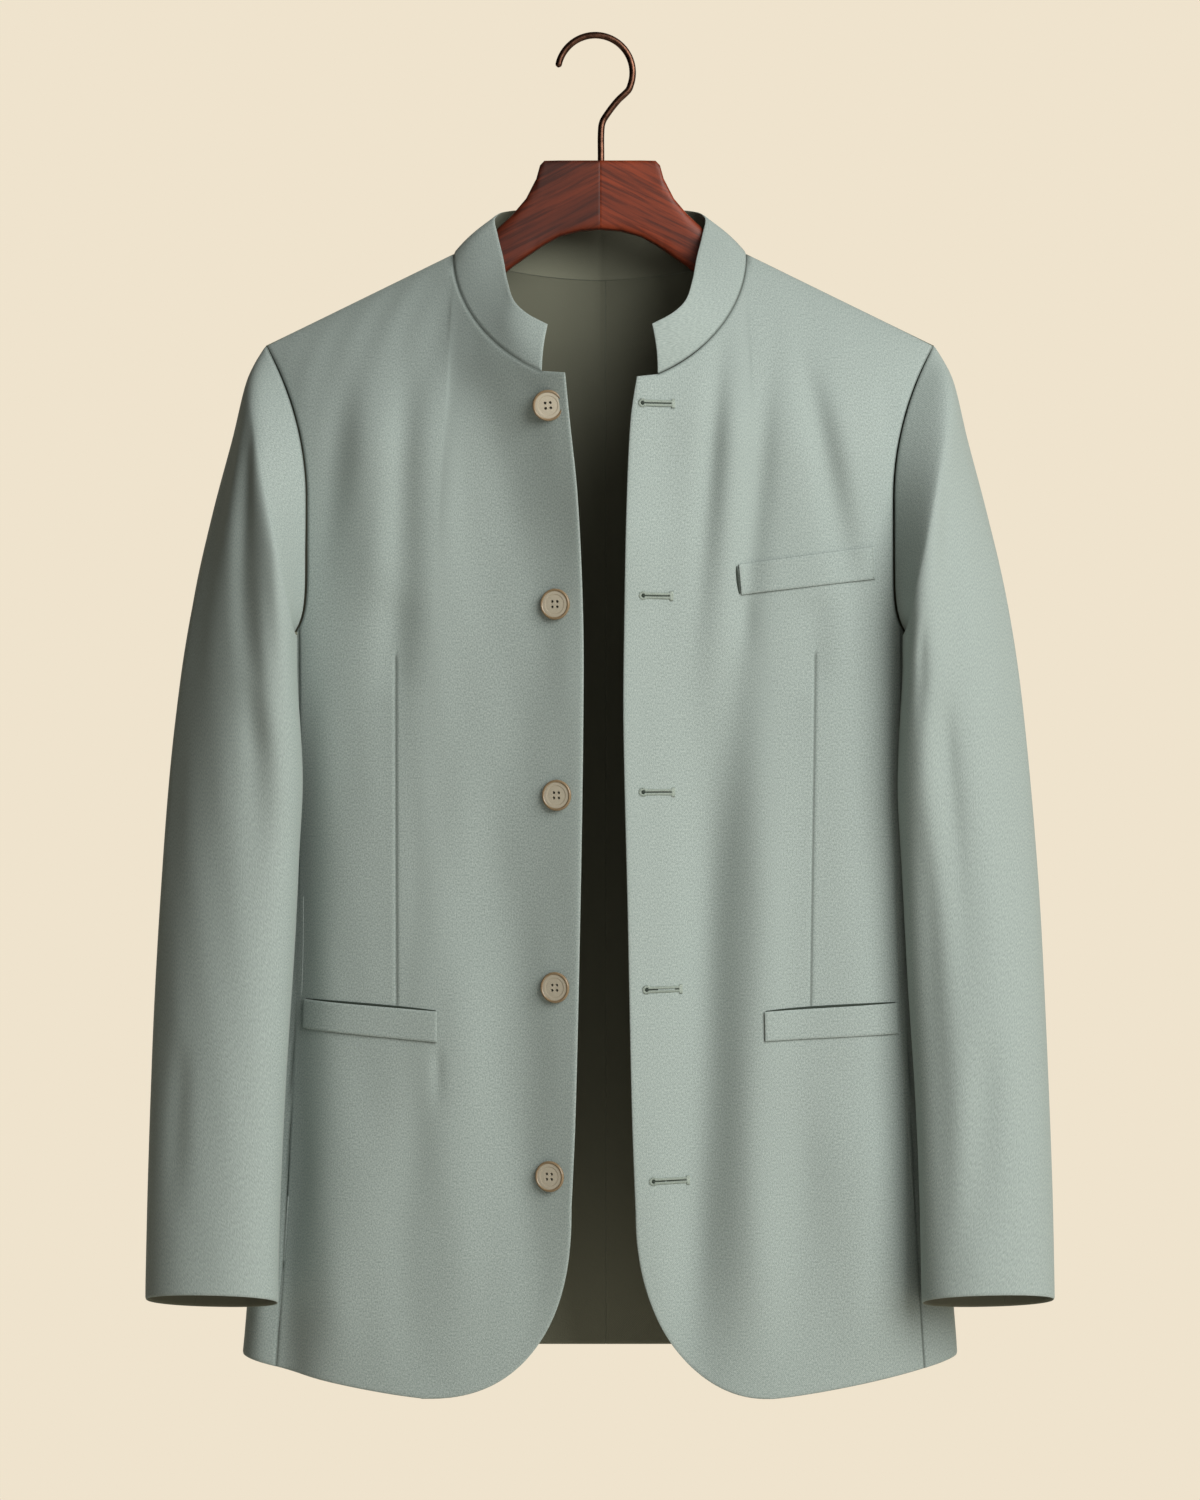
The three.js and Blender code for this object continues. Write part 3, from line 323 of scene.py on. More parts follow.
def body_depth(side, facing, out, drop):
    section = look_up(BODY, "drop", drop)
    full = section["front"] if facing < 0 else section["back"]
    across = np.minimum(np.abs(out) / section["half_width"], 1)
    edge = (1 - across ** SECTION_POWER) ** (1 / SECTION_POWER)
    share = fall_share(np.abs(out), drop)
    height = body_folds(side, facing, out, drop)
    if facing < 0 and side < 0:
        flap = look_up(FLAP, "drop", drop)
        past_hinge = FLAP_BEND * np.logaddexp(0, (flap["hinge"] - out) / FLAP_BEND)
        height = height + flap["slope"] * past_hinge
    raised = height * share * np.minimum(edge * FOLD_EDGE, 1)
    return np.maximum(full * edge * share + raised, SEAM_GAP / 2)


def body_point(side, facing, out, drop):
    out = np.asarray(out, float)
    drop = np.asarray(drop, float)
    depth = body_depth(side, facing, out, drop)
    return np.stack([side * out, facing * depth, -drop], axis=-1)


def unit(vectors):
    length = np.linalg.norm(vectors, axis=-1, keepdims=True)
    return vectors / np.maximum(length, 1e-9)


# Outward normals of a surface, from small steps along its two coordinates
def normals_of(point_at, a, b, step_a, step_b, sign):
    along_a = point_at(a + step_a, b) - point_at(a - step_a, b)
    along_b = point_at(a, b + step_b) - point_at(a, b - step_b)
    return sign * unit(np.cross(along_a, along_b))


# Armhole, by the cosine of the angle from its top
def armhole_place(facing, cosine):
    cosine = np.asarray(cosine, float)
    middle = ARMHOLE["front_out"] if facing < 0 else ARMHOLE["back_out"]
    underarm_out = look_up(BODY, "drop", UNDERARM_DROP)["half_width"]
    upper = mix(middle, SHOULDER_OUT, np.abs(cosine) ** ARMHOLE["upper_power"])
    lower = mix(middle, underarm_out, np.abs(cosine) ** ARMHOLE["lower_power"])
    half = (UNDERARM_DROP - SHOULDER_DROP) / 2
    return np.where(cosine > 0, upper, lower), SHOULDER_DROP + half * (1 - cosine)


def side_seam_out(facing, drop):
    start_out, start_drop = armhole_place(facing, ARMHOLE["seam_at"])
    t = clamp((drop - start_drop) / (SEAM_SIDE["bottom_drop"] - start_drop), 0, 1)
    return mix(start_out, SEAM_SIDE["bottom_out"], t * t)


def neck_front(out):
    share = clamp(out / NECK_OUT, 0, 1)
    return NECK_DROP + NECK_FRONT_DEPTH * (1 - share ** NECK_POWER) ** (1 / NECK_POWER)


def neck_back(out):
    share = np.minimum(np.abs(out) / NECK_OUT, 1)
    return NECK_DROP + NECK_BACK_DEPTH * (1 - share ** NECK_BACK_POWER)


def hem_drop(facing, out):
    if facing > 0:
        return mix(HEM_BACK_DROP, HEM_SIDE_DROP + 1, (out / HEM_END_OUT) ** 2)
    share = clamp((out - HEM_STRAIGHT_OUT) / (HEM_END_OUT - HEM_STRAIGHT_OUT), 0, 1)
    return mix(HEM_DROP, HEM_SIDE_DROP, share ** HEM_POWER)


SEAM_ANGLE = math.acos(ARMHOLE["seam_at"])
ARMHOLE_ROWS = 0.35
EDGE_ROWS = 0.8
NECK_COLS = 0.5
STEP_COLS = 1 / 12
CORNER_COLS = 0.25


def armhole_stage(v):
    return clamp(v / ARMHOLE_ROWS, 0, 1)


def armhole_angle(stage):
    return SEAM_ANGLE * stage ** ARMHOLE["spread"]


def side_curve(facing, v):
    out_top, drop_top = armhole_place(facing, np.cos(armhole_angle(armhole_stage(v))))
    top = armhole_place(facing, ARMHOLE["seam_at"])[1]
    t = clamp((v - ARMHOLE_ROWS) / (1 - ARMHOLE_ROWS), 0, 1)
    drop = mix(top, hem_drop(facing, SEAM_SIDE["bottom_out"]), t)
    above = v <= ARMHOLE_ROWS
    return np.where(above, out_top, side_seam_out(facing, drop)), np.where(above, drop_top, drop)


def shoulder_place(t):
    return mix(NECK_OUT, SHOULDER_OUT, t), mix(NECK_DROP, SHOULDER_DROP, t)


# How fast the shape of a side curve fades into the panel
SIDE_FADE = 3


# Grid between four curves that share their corners, as two arrays of rows by columns
def patch(u, v, top, bottom, start, end):
    across = u[None, :]
    down = v[:, None]
    grid = []
    for k in range(2):
        t = top(u)[k][None, :]
        b = bottom(u)[k][None, :]
        s = start(v)[k][:, None]
        e = end(v)[k][:, None]
        ends = [curve(np.array([place]))[k][0] for curve in (top, bottom) for place in (0.0, 1.0)]
        top_start, top_end, bottom_start, bottom_end = ends
        from_start = (1 - across) ** SIDE_FADE * (s - mix(top_start, bottom_start, down))
        from_end = across ** SIDE_FADE * (e - mix(top_end, bottom_end, down))
        grid.append(mix(t, b, down) + from_start + from_end)
    return grid


def choose(condition, first, second):
    return tuple(np.where(condition, a, b) for a, b in zip(first, second))


def front_curves(side):
    name = HAND[side]
    corner = HEM_CORNER[side]
    start_out = look_up(FRONT_EDGE, "drop", corner["start_drop"])[name]
    edge_top = look_up(FRONT_EDGE, "drop", FRONT_TOP_DROP)[name]

    def corner_place(angle):
        power = 2 / corner["power"]
        out = corner["end_out"] - (corner["end_out"] - start_out) * np.cos(angle) ** power
        drop = corner["start_drop"] + (HEM_DROP - corner["start_drop"]) * np.sin(angle) ** power
        return out, drop

    def top(u):
        t = clamp(u / STEP_COLS, 0, 1)
        step = (mix(edge_top, COLLAR_END_OUT, t), mix(FRONT_TOP_DROP, neck_front(COLLAR_END_OUT), t))
        turn_end = math.acos((COLLAR_END_OUT / NECK_OUT) ** (NECK_POWER / 2))
        angle = turn_end * (1 - clamp((u - STEP_COLS) / (NECK_COLS - STEP_COLS), 0, 1))
        neck_out = NECK_OUT * np.cos(angle) ** (2 / NECK_POWER)
        neck = (neck_out, neck_front(neck_out))
        shoulder = shoulder_place(clamp((u - NECK_COLS) / (1 - NECK_COLS), 0, 1))
        return choose(u <= STEP_COLS, step, choose(u <= NECK_COLS, neck, shoulder))

    def start(v):
        turn = corner_place((math.pi / 4) * clamp((v - EDGE_ROWS) / (1 - EDGE_ROWS), 0, 1))
        t = clamp((v - ARMHOLE_ROWS) / (EDGE_ROWS - ARMHOLE_ROWS), 0, 1)
        upper = mix(FRONT_TOP_DROP, SEAM_SIDE["top_drop"], armhole_stage(v))
        drop = np.where(v <= ARMHOLE_ROWS, upper, mix(SEAM_SIDE["top_drop"], corner["start_drop"], t))
        straight = (look_up(FRONT_EDGE, "drop", drop)[name], drop)
        return choose(v >= EDGE_ROWS, turn, straight)

    def bottom(u):
        turn = corner_place((math.pi / 4) * (1 + clamp(u / CORNER_COLS, 0, 1)))
        t = clamp((u - CORNER_COLS) / (1 - CORNER_COLS), 0, 1)
        out = mix(corner["end_out"], SEAM_SIDE["bottom_out"], t)
        return choose(u <= CORNER_COLS, turn, (out, hem_drop(-1, out)))

    return top, bottom, start, lambda v: side_curve(-1, v)


def back_curves(side):
    middle = side * CENTRE_BACK_OUT

    def top(u):
        out = mix(middle, NECK_OUT, clamp(u / NECK_COLS, 0, 1))
        shoulder = shoulder_place(clamp((u - NECK_COLS) / (1 - NECK_COLS), 0, 1))
        return choose(u <= NECK_COLS, (out, neck_back(out)), shoulder)

    def bottom(u):
        out = mix(middle, SEAM_SIDE["bottom_out"], u)
        return out, hem_drop(1, np.abs(out))

    def start(v):
        upper = mix(neck_back(0), SEAM_SIDE["top_drop"], armhole_stage(v))
        t = clamp((v - ARMHOLE_ROWS) / (1 - ARMHOLE_ROWS), 0, 1)
        drop = np.where(v <= ARMHOLE_ROWS, upper, mix(SEAM_SIDE["top_drop"], HEM_BACK_DROP, t))
        return np.full_like(drop, middle), drop

    return top, bottom, start, lambda v: side_curve(1, v)


# Shares of the first rows and columns beside an edge
NEAR_TOP = (0.0012, 0.0028, 0.005, 0.008)
NEAR_SIDE = (0.0028, 0.006, 0.0105, 0.016)
NEAR_SIDE_NARROW = (0.006, 0.014, 0.026, 0.04)


# Even shares with a few more close to both ends, where the edges roll in
def shares(count, near):
    even = np.linspace(0, 1, count + 1)
    extra = np.array(near)
    return np.unique(np.round(np.concatenate([even, extra, 1 - extra]), 6))


# Line of a dart on a front: out of its top and of its bottom
DARTS = {
    -1: {"top_out": 136.5, "top_drop": 424, "bottom_out": 136, "bottom_drop": 657},
    1: {"top_out": 144, "top_drop": 420, "bottom_out": 141, "bottom_drop": 658},
}
DART_AT = 0.65
DART_LINES = (0.0, 0.0022, 0.005, 0.009, 0.015)
DART_PROBE = (0.45, 0.85, 161)
DART_EASE = {"top": 0.3, "bottom": 0.2}


# Column share at which the dart lies in each row, eased back to the plain grid above and below
def dart_share(side, curves, v):
    dart = DARTS[side]
    probe = np.linspace(*DART_PROBE)
    out, drop = patch(probe, v, *curves)
    t = clamp((drop - dart["top_drop"]) / (dart["bottom_drop"] - dart["top_drop"]), 0, 1)
    aim = mix(dart["top_out"], dart["bottom_out"], t)
    best = np.argmin(np.abs(out - aim), axis=1)
    found = np.empty(len(v))
    for i, j in enumerate(best):
        low = min(max(j - 1, 0), len(probe) - 3)
        found[i] = np.interp(0, (out - aim)[i, low:low + 3], probe[low:low + 3])
    hold = ease(v / DART_EASE["top"]) * ease((1 - v) / DART_EASE["bottom"])
    return mix(DART_AT, found, hold)


def front_places(side):
    curves = front_curves(side)
    u = shares(36 * FINE, NEAR_SIDE)
    around = np.array([DART_AT + sign * line for line in DART_LINES for sign in (-1, 1)])
    u = np.unique(np.round(np.concatenate([u, around]), 6))
    v = shares(100 * FINE, NEAR_TOP)
    at = dart_share(side, curves, v)
    out = np.empty((len(v), len(u)))
    drop = np.empty_like(out)
    for i, row in enumerate(v):
        scaled = np.where(
            u <= DART_AT,
            u * at[i] / DART_AT,
            1 - (1 - u) * (1 - at[i]) / (1 - DART_AT),
        )
        place = patch(scaled, np.array([row]), *curves)
        out[i] = place[0][0]
        drop[i] = place[1][0]
    return u, out, drop


# Side panel, by the angle round the section: negative towards the front, positive towards the back
def section_point(side, angle, drop):
    section = look_up(BODY, "drop", drop)
    depth = np.where(angle < 0, -section["front"], section["back"])
    facing = np.where(angle < 0, -1, 1)
    out = section["half_width"] * np.cos(angle) ** (2 / SECTION_POWER)
    edge = np.abs(np.sin(angle)) ** (2 / SECTION_POWER)
    folds = np.where(angle < 0, body_folds(side, -1, out, drop), body_folds(side, 1, out, drop))
    y = depth * edge + facing * folds * np.minimum(edge * FOLD_EDGE, 1)
    return np.stack([side * out, y, -drop], axis=-1)


def section_angle(out, drop, facing):
    share = clamp(out / look_up(BODY, "drop", drop)["half_width"], 0, 1)
    return facing * np.arccos(share ** (SECTION_POWER / 2))


def side_places():
    u = shares(16 * FINE, NEAR_SIDE_NARROW)
    v = shares(60 * FINE, NEAR_TOP)
    angle = np.empty((len(v), len(u)))
    drop = np.empty_like(angle)
    front_end = section_angle(SEAM_SIDE["bottom_out"], SEAM_SIDE["bottom_drop"], -1)
    back_end = section_angle(SEAM_SIDE["bottom_out"], HEM_BACK_DROP, 1)
    for j, share in enumerate(u):
        facing = -1 if share < 0.5 else 1
        turn = mix(SEAM_ANGLE, math.pi, 1 - abs(2 * share - 1))
        top_out, top_drop = armhole_place(facing, math.cos(turn))
        hem_angle = mix(front_end, back_end, share)
        hem_out = section_point(1, hem_angle, HEM_SIDE_DROP)[..., 0]
        drop[:, j] = mix(top_drop, hem_drop(facing, hem_out), v)
        if share in (0, 1):
            angle[:, j] = section_angle(side_seam_out(facing, drop[:, j]), drop[:, j], facing)
        else:
            angle[:, j] = mix(section_angle(top_out, top_drop, facing), hem_angle, v)
    return angle, drop


def collar_base(share):
    part = np.abs(share)
    side = np.where(share < 0, -1, 1)
    back_out = NECK_OUT * clamp(part / COLLAR["side_share"], 0, 1)
    turn_end = math.acos((COLLAR_END_OUT / NECK_OUT) ** (NECK_POWER / 2))
    angle = turn_end * clamp((part - COLLAR["side_share"]) / (1 - COLLAR["side_share"]), 0, 1)
    front_out = NECK_OUT * np.cos(angle) ** (2 / NECK_POWER)
    behind = body_point(1, 1, back_out, neck_back(back_out))
    left = body_point(-1, -1, front_out, neck_front(front_out))
    right = body_point(1, -1, front_out, neck_front(front_out))
    left[..., 0] *= -1
    ahead = np.where((share < 0)[..., None], left, right)
    point = np.where((part <= COLLAR["side_share"])[..., None], behind, ahead)
    point[..., 0] *= side
    return point


def collar_point(share, height):
    part = clamp(np.abs(share), 0, 1)
    side = np.where(share < 0, -1, 1)
    base = collar_base(clamp(share, -1, 1))
    edge = look_up(COLLAR_TOP, "share", part)
    top = np.stack([side * edge["out"], -edge["forward"], -edge["drop"]], axis=-1)
    rise = top - base
    height = np.asarray(height, float)[..., None]
    away = unit(base * np.array([1.0, 1.0, 0.0]))
    bow = COLLAR["bow"] * np.sin(math.pi * clamp(height, 0, 1))
    return base + rise * height + away * bow + unit(rise) * SEAM_GAP * (1 - height)


# Points of one ring of the sleeve. Ring 0 is the armhole.
def sleeve_ring(side, ring, angle):
    cosine = np.cos(angle)
    sine = np.sin(angle)
    if ring == 0:
        front = armhole_place(-1, cosine)
        back = armhole_place(1, cosine)
        front_point = body_point(side, -1, *front)
        back_point = body_point(side, 1, *back)
        point = np.where((sine > 0)[..., None], front_point, back_point)
        return point + np.array([side * SEAM_GAP, 0, 0])
    row = {name: column[ring - 1] for name, column in SLEEVE.items()}
    across = np.sign(cosine) * np.abs(cosine) ** (2 / SLEEVE_POWER)
    through = np.sign(sine) * np.abs(sine) ** (2 / SLEEVE_POWER)
    outward = (row["outer_out"] - row["inner_out"]) / 2
    downward = (row["outer_drop"] - row["inner_drop"]) / 2
    forward = (row["outer_forward"] - row["inner_forward"]) / 2
    return np.stack([
        side * (row["inner_out"] + outward * (1 + across)),
        -(row["inner_forward"] + forward * (1 + across) + row["depth"] * through),
        -(row["inner_drop"] + downward * (1 + across)) + row["slant"] * through,
    ], axis=-1)


def clear_of_body(point, ring):
    drop = -point[..., 2]
    section = look_up(BODY, "drop", drop)
    clearance = SLEEVE_CLEARANCE * clamp(ring, 0, 1)
    half_width = section["half_width"] + clearance
    depth = np.where(point[..., 1] < 0, section["front"], section["back"]) + clearance
    share = np.abs(point[..., 0] / half_width) ** SECTION_POWER
    share = share + np.abs(point[..., 1] / depth) ** SECTION_POWER
    size = np.maximum(share ** (1 / SECTION_POWER), 1e-6)
    share_below = ease((drop - CLEAR_BELOW["from"]) / CLEAR_BELOW["over"])
    push = np.where(size < 1, mix(1, 1 / size, share_below), 1)
    return point * np.stack([push, push, np.ones_like(push)], axis=-1)


# Slope between two runs that never swings past either of them
def steady_slope(before, after):
    total = before + after
    safe = np.where(np.abs(total) < 1e-9, 1, total)
    return np.where(before * after > 0, 2 * before * after / safe, 0)


LAST_RING = len(SLEEVE["slant"])


def sleeve_point(side, angle, ring):
    ring = np.asarray(ring, float)
    point = np.empty(angle.shape + (3,))
    centre = np.empty_like(point)
    for row in range(angle.shape[0]):
        stage = float(clamp(ring[row, 0], 0, LAST_RING))
        i = min(int(stage), LAST_RING - 1)
        t = stage - i
        near = [min(max(k, 0), LAST_RING) for k in range(i - 1, i + 3)]
        before, low, high, after = [sleeve_ring(side, k, angle[row]) for k in near]
        run = high - low
        slope_low = steady_slope(low - before, run) if i > 0 else run
        slope_high = steady_slope(run, after - high) if i < LAST_RING - 1 else run
        point[row] = hermite(low, high, slope_low, slope_high, t)
        ends = [sleeve_ring(side, k, np.array([0, math.pi])).mean(axis=0) for k in (i, i + 1)]
        centre[row] = mix(ends[0], ends[1], t)
    clear = clear_of_body(point, clamp(ring, 0, LAST_RING))
    turn = np.mod(angle, 2 * math.pi)
    folds = SLEEVE_FOLDS[side] + SLEEVE_CREASES[side]
    reach = (SLEEVE_REACH["round"], SLEEVE_REACH["down"])
    height = fold_height(folds, turn, ring / LAST_RING, *reach, fade_in=0.3, fade_out=0.6, widen=0.6)
    away = unit((clear - centre) * np.array([1.0, 1.0, 0.0]))
    return clear + away * np.asarray(height)[..., None]


SEAM_ROLL = {"depth": 0.6, "reach": 2.2}
EDGE_ROLL = {"depth": 0.4, "reach": 1.3}
# Painted shade along the seams: the cloth colour darkens to a share of dark at a seam and fades back
# over the given distances
SEAM_SHADE = {"dark": 0.5, "from": 0.2, "to": 1.1}
RIM_BULGE = 0.22
RESAMPLE = 0.35
# Share of the painted inside shade that the rim of every piece takes
RIM_INSIDE = 0.4
UNEVEN = {
    "height": 0.22,
    "waves": 9,
    "shortest": 26,
    "longest": 90,
    "clear": 14,
    "lean": 0.7,
    "down": 0.45,
}


# Distance of every point of a grid from some lines
def distance_to(points, lines):
    samples = []
    for line in lines:
        runs = np.linalg.norm(np.diff(line, axis=0), axis=1)
        along = np.concatenate([[0], np.cumsum(runs)])
        count = max(int(along[-1] / RESAMPLE), 1)
        places = np.linspace(0, along[-1], count + 1)
        samples.append(np.stack([np.interp(places, along, line[:, k]) for k in range(3)], axis=-1))
    samples = np.concatenate(samples) if samples else np.array([[1e4, 1e4, 1e4]])
    tree = KDTree(len(samples))
    for index, place in enumerate(samples):
        tree.insert(place, index)
    tree.balance()
    flat = points.reshape(-1, 3)
    found = np.array([tree.find(place)[2] for place in flat])
    return found.reshape(points.shape[:2])


# Slight seeded unevenness of hanging cloth
def unevenness(across, down):
    height = np.zeros_like(across)
    for _ in range(UNEVEN["waves"]):
        length = random.uniform(UNEVEN["shortest"], UNEVEN["longest"])
        lean = random.uniform(-UNEVEN["lean"], UNEVEN["lean"])
        phase = random.uniform(0, 2 * math.pi)
        wave = across * math.cos(lean) + down * math.sin(lean) * UNEVEN["down"]
        height += np.sin(wave * 2 * math.pi / length + phase)
    return height * UNEVEN["height"] / math.sqrt(UNEVEN["waves"])


def add_object(name, data):
    made = bpy.data.objects.new(name, data)
    bpy.context.scene.collection.objects.link(made)
    return made


def new_object(name, vertices, faces, material, attributes=None, uv=None):
    mesh = bpy.data.meshes.new(name)
    shifted = np.asarray(vertices, float) + np.array([SHIFT, 0, 0])
    mesh.from_pydata((shifted * MM).tolist(), [], [list(map(int, face)) for face in faces])
    mesh.update()
    for label, values in (attributes or {}).items():
        values = np.asarray(values, float)
        kind = "FLOAT_VECTOR" if values.ndim == 2 else "FLOAT"
        layer = mesh.attributes.new(label, kind, "POINT")
        layer.data.foreach_set("vector" if values.ndim == 2 else "value", values.ravel())
    if uv is not None:
        layer = mesh.uv_layers.new(name="cloth")
        corners = np.empty(len(mesh.loops), dtype=np.int64)
        mesh.loops.foreach_get("vertex_index", corners)
        layer.data.foreach_set("uv", (np.asarray(uv) * MM)[corners].ravel())
    mesh.materials.append(material)
    mesh.shade_smooth()
    return add_object(name, mesh)


# Ties a piece to the frame by its body, and hides the solids that it stands for
def settle(made, slot_name, *stands_for):
    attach(made, "root")
    if stands_for:
        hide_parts(*stands_for)
    return made


# A closed shell of cloth from a grid of points on its outer side. It stands for the solid that
# has its name.
def cloth_shell(name, points, outward, seams, edges, uv, thickness=CLOTH, uneven=True, rim_shade=1):
    rows, cols = points.shape[:2]
    to_seam = distance_to(points, seams)
    to_edge = distance_to(points, edges)
    if uneven:
        inner_share = ease(np.minimum(to_seam, to_edge) / UNEVEN["clear"])
        height = unevenness(uv[..., 0], uv[..., 1]) * inner_share
        points = points + outward * height[..., None]
    edge_share = 1 - ease(to_edge / EDGE_ROLL["reach"])
    sink = SEAM_ROLL["depth"] * (1 - ease(to_seam / SEAM_ROLL["reach"]))
    sink = np.maximum(sink, EDGE_ROLL["depth"] * edge_share)
    outer = points - outward * sink[..., None]
    back = thickness - EDGE_ROLL["depth"] * edge_share
    inner = points - outward * back[..., None]
    order = [(0, j) for j in range(cols - 1)]
    order += [(i, cols - 1) for i in range(rows - 1)]
    order += [(rows - 1, j) for j in range(cols - 1, 0, -1)]
    order += [(i, 0) for i in range(rows - 1, 0, -1)]
    ring_i = np.array([i for i, _ in order])
    ring_j = np.array([j for _, j in order])
    next_i = clamp(ring_i, 1, rows - 2)
    next_j = clamp(ring_j, 1, cols - 2)
    away = unit(points[ring_i, ring_j] - points[next_i, next_j])
    middle = (outer[ring_i, ring_j] + inner[ring_i, ring_j]) / 2 + away * RIM_BULGE
    vertices = np.concatenate([outer.reshape(-1, 3), inner.reshape(-1, 3), middle])
    at = np.arange(rows * cols).reshape(rows, cols)
    quads = np.stack([at[:-1, :-1], at[:-1, 1:], at[1:, 1:], at[1:, :-1]], axis=-1).reshape(-1, 4)
    mid_i = rows // 2
    mid_j = cols // 2
    across = points[mid_i, mid_j + 1] - points[mid_i, mid_j]
    down = points[mid_i + 1, mid_j] - points[mid_i, mid_j]
    turned = np.dot(np.cross(across, down), outward[mid_i, mid_j]) < 0
    layer = rows * cols
    rim = at[ring_i, ring_j]
    rim_next = np.roll(rim, -1)
    mids = 2 * layer + np.arange(len(rim))
    mids_next = np.roll(mids, -1)
    rim_outer = np.stack([rim, mids, mids_next, rim_next], axis=-1)
    rim_inner = np.stack([mids, rim + layer, rim_next + layer, mids_next], axis=-1)
    faces = np.concatenate([quads, (quads + layer)[:, ::-1], rim_outer, rim_inner])
    if turned:
        faces = faces[:, ::-1]
    # Painted shade: the outer face darkens towards each seam, as the shade in its groove
    dark = mix(SEAM_SHADE["dark"], 1, ease((to_seam - SEAM_SHADE["from"]) / SEAM_SHADE["to"]))
    # Painted shade on the rim: rim_shade darkens it further, round the welts
    rim_dark = dark[ring_i, ring_j] * rim_shade
    rim_inside = np.full(len(rim), RIM_INSIDE)
    attributes = {
        "shade": np.concatenate([dark.ravel(), np.ones(layer), rim_dark]),
        "inside": np.concatenate([np.zeros(layer), np.ones(layer), rim_inside]),
    }
    flat = uv.reshape(-1, 2)
    uvs = np.concatenate([flat, flat, uv[ring_i, ring_j]])
    return settle(new_object(name, vertices, faces, CLOTH_MATERIAL, attributes, uvs), "cloth", name)


# Lengths along the rows of a grid, starting from a value for each row
def row_lengths(points, first):
    runs = np.linalg.norm(np.diff(points, axis=1), axis=2)
    start = np.zeros((len(points), 1))
    return np.concatenate([start, np.cumsum(runs, axis=1)], axis=1) + first[:, None]


def column_lengths(points):
    runs = np.linalg.norm(np.diff(points, axis=0), axis=2)
    return np.concatenate([np.zeros((1, points.shape[1])), np.cumsum(runs, axis=0)], axis=0)


def trimmed(points, distance, columns=(0, -1)):
    moved = points.copy()
    for j in columns:
        beside = 1 if j == 0 else -2
        moved[:, j] += unit(points[:, beside] - points[:, j]) * distance
    return moved


def build_front(side):
    hand = HAND[side]
    u, out, drop = front_places(side)

    def point_at(a, b):
        return body_point(side, -1, a, b)

    points = point_at(out, drop)
    outward = normals_of(point_at, out, drop, BODY_STEP, BODY_STEP, 1)
    outward *= np.where(outward[..., 1:2] > 0, -1, 1)
    points = trimmed(points, SEAM_GAP / 2, (-1,))
    dart = DARTS[side]
    column = int(np.argmin(np.abs(u - DART_AT)))
    rows = (drop[:, column] > dart["top_drop"]) & (drop[:, column] < dart["bottom_drop"])
    neck = points[0, u >= STEP_COLS - 1e-6]
    seams = [neck, points[:, -1], points[rows, column]]
    edges = [points[0, u <= STEP_COLS + 1e-6], points[:, 0], points[-1]]
    uv = np.stack([row_lengths(points, out[:, 0]), drop], axis=-1)
    made = cloth_shell(f"front_{hand}", points, outward, seams, edges, uv)


def build_back(side):
    hand = HAND[side]
    u = shares(24 * FINE, NEAR_SIDE)
    v = shares(70 * FINE, NEAR_TOP)
    out, drop = patch(u, v, *back_curves(side))

    def point_at(a, b):
        return body_point(side, 1, a, b)

    points = point_at(out, drop)
    outward = normals_of(point_at, out, drop, BODY_STEP, BODY_STEP, 1)
    outward *= np.where(outward[..., 1:2] < 0, -1, 1)
    points = trimmed(points, SEAM_GAP / 2)
    seams = [points[0], points[:, -1], points[:, 0]]
    uv = np.stack([row_lengths(points, out[:, 0]), drop], axis=-1)
    made = cloth_shell(f"back_{hand}", points, outward, seams, [points[-1]], uv)


def build_side(side):
    hand = HAND[side]
    angle, drop = side_places()

    def point_at(a, b):
        return section_point(side, a, b)

    points = point_at(angle, drop)
    outward = normals_of(point_at, angle, drop, 0.004, 0.5, 1)
    outward *= side * np.sign(np.sum(outward[..., 0]))
    points = trimmed(points, SEAM_GAP / 2)
    seams = [points[:, 0], points[:, -1], points[0]]
    uv = np.stack([row_lengths(points, np.zeros(len(points))), drop], axis=-1)
    made = cloth_shell(f"side_{hand}", points, outward, seams, [points[-1]], uv)


def sleeve_columns(part):
    front = SLEEVE_SEAMS["front"]
    back = SLEEVE_SEAMS["back"]
    if part == "under":
        return front + (back - front) * shares(22 * FINE, NEAR_SIDE_NARROW)
    first = back - 2 * math.pi
    return first + (front - first) * shares(36 * FINE, (0.0035, 0.008, 0.014, 0.022))


def sleeve_rows():
    lengths = (24, 47, 52, 54, 68, 77, 95, 95, 90, 56)
    pitch = 8 / FINE
    rings = []
    for start, length in enumerate(lengths):
        count = max(int(length / pitch), 2)
        rings.extend(start + np.arange(count) / count)
    near_top = (0.02, 0.05, 0.09, 0.14)
    near_cuff = (0.008, 0.02, 0.035, 0.055)
    rings.extend(near_top)
    rings.extend(LAST_RING - np.array(near_cuff))
    rings.append(LAST_RING)
    return np.unique(np.round(rings, 6))


def build_sleeve(side, part):
    hand = HAND[side]
    angle, ring = np.meshgrid(sleeve_columns(part), sleeve_rows())

    def point_at(a, b):
        return sleeve_point(side, a, b)

    points = point_at(angle, ring)
    outward = normals_of(point_at, angle, ring, 0.02, 0.02, 1)
    opposite = sleeve_point(side, angle + math.pi, ring)
    outward *= np.sign(np.sum(outward * (points - opposite)))
    points = trimmed(points, SEAM_GAP / 2)
    seams = [points[:, 0], points[:, -1], points[0]]
    width = row_lengths(points, np.zeros(len(points)))
    width -= width[:, -1:] / 2
    uv = np.stack([width, column_lengths(points)], axis=-1)
    name = f"{part}_sleeve_{hand}"
    made = cloth_shell(name, points, outward, seams, [points[-1]], uv)


# Behind, the lower edge of the band reaches a little below the neck seam, as a share of its height
COLLAR_TUCK = {"share": -0.035, "run": 0.05}


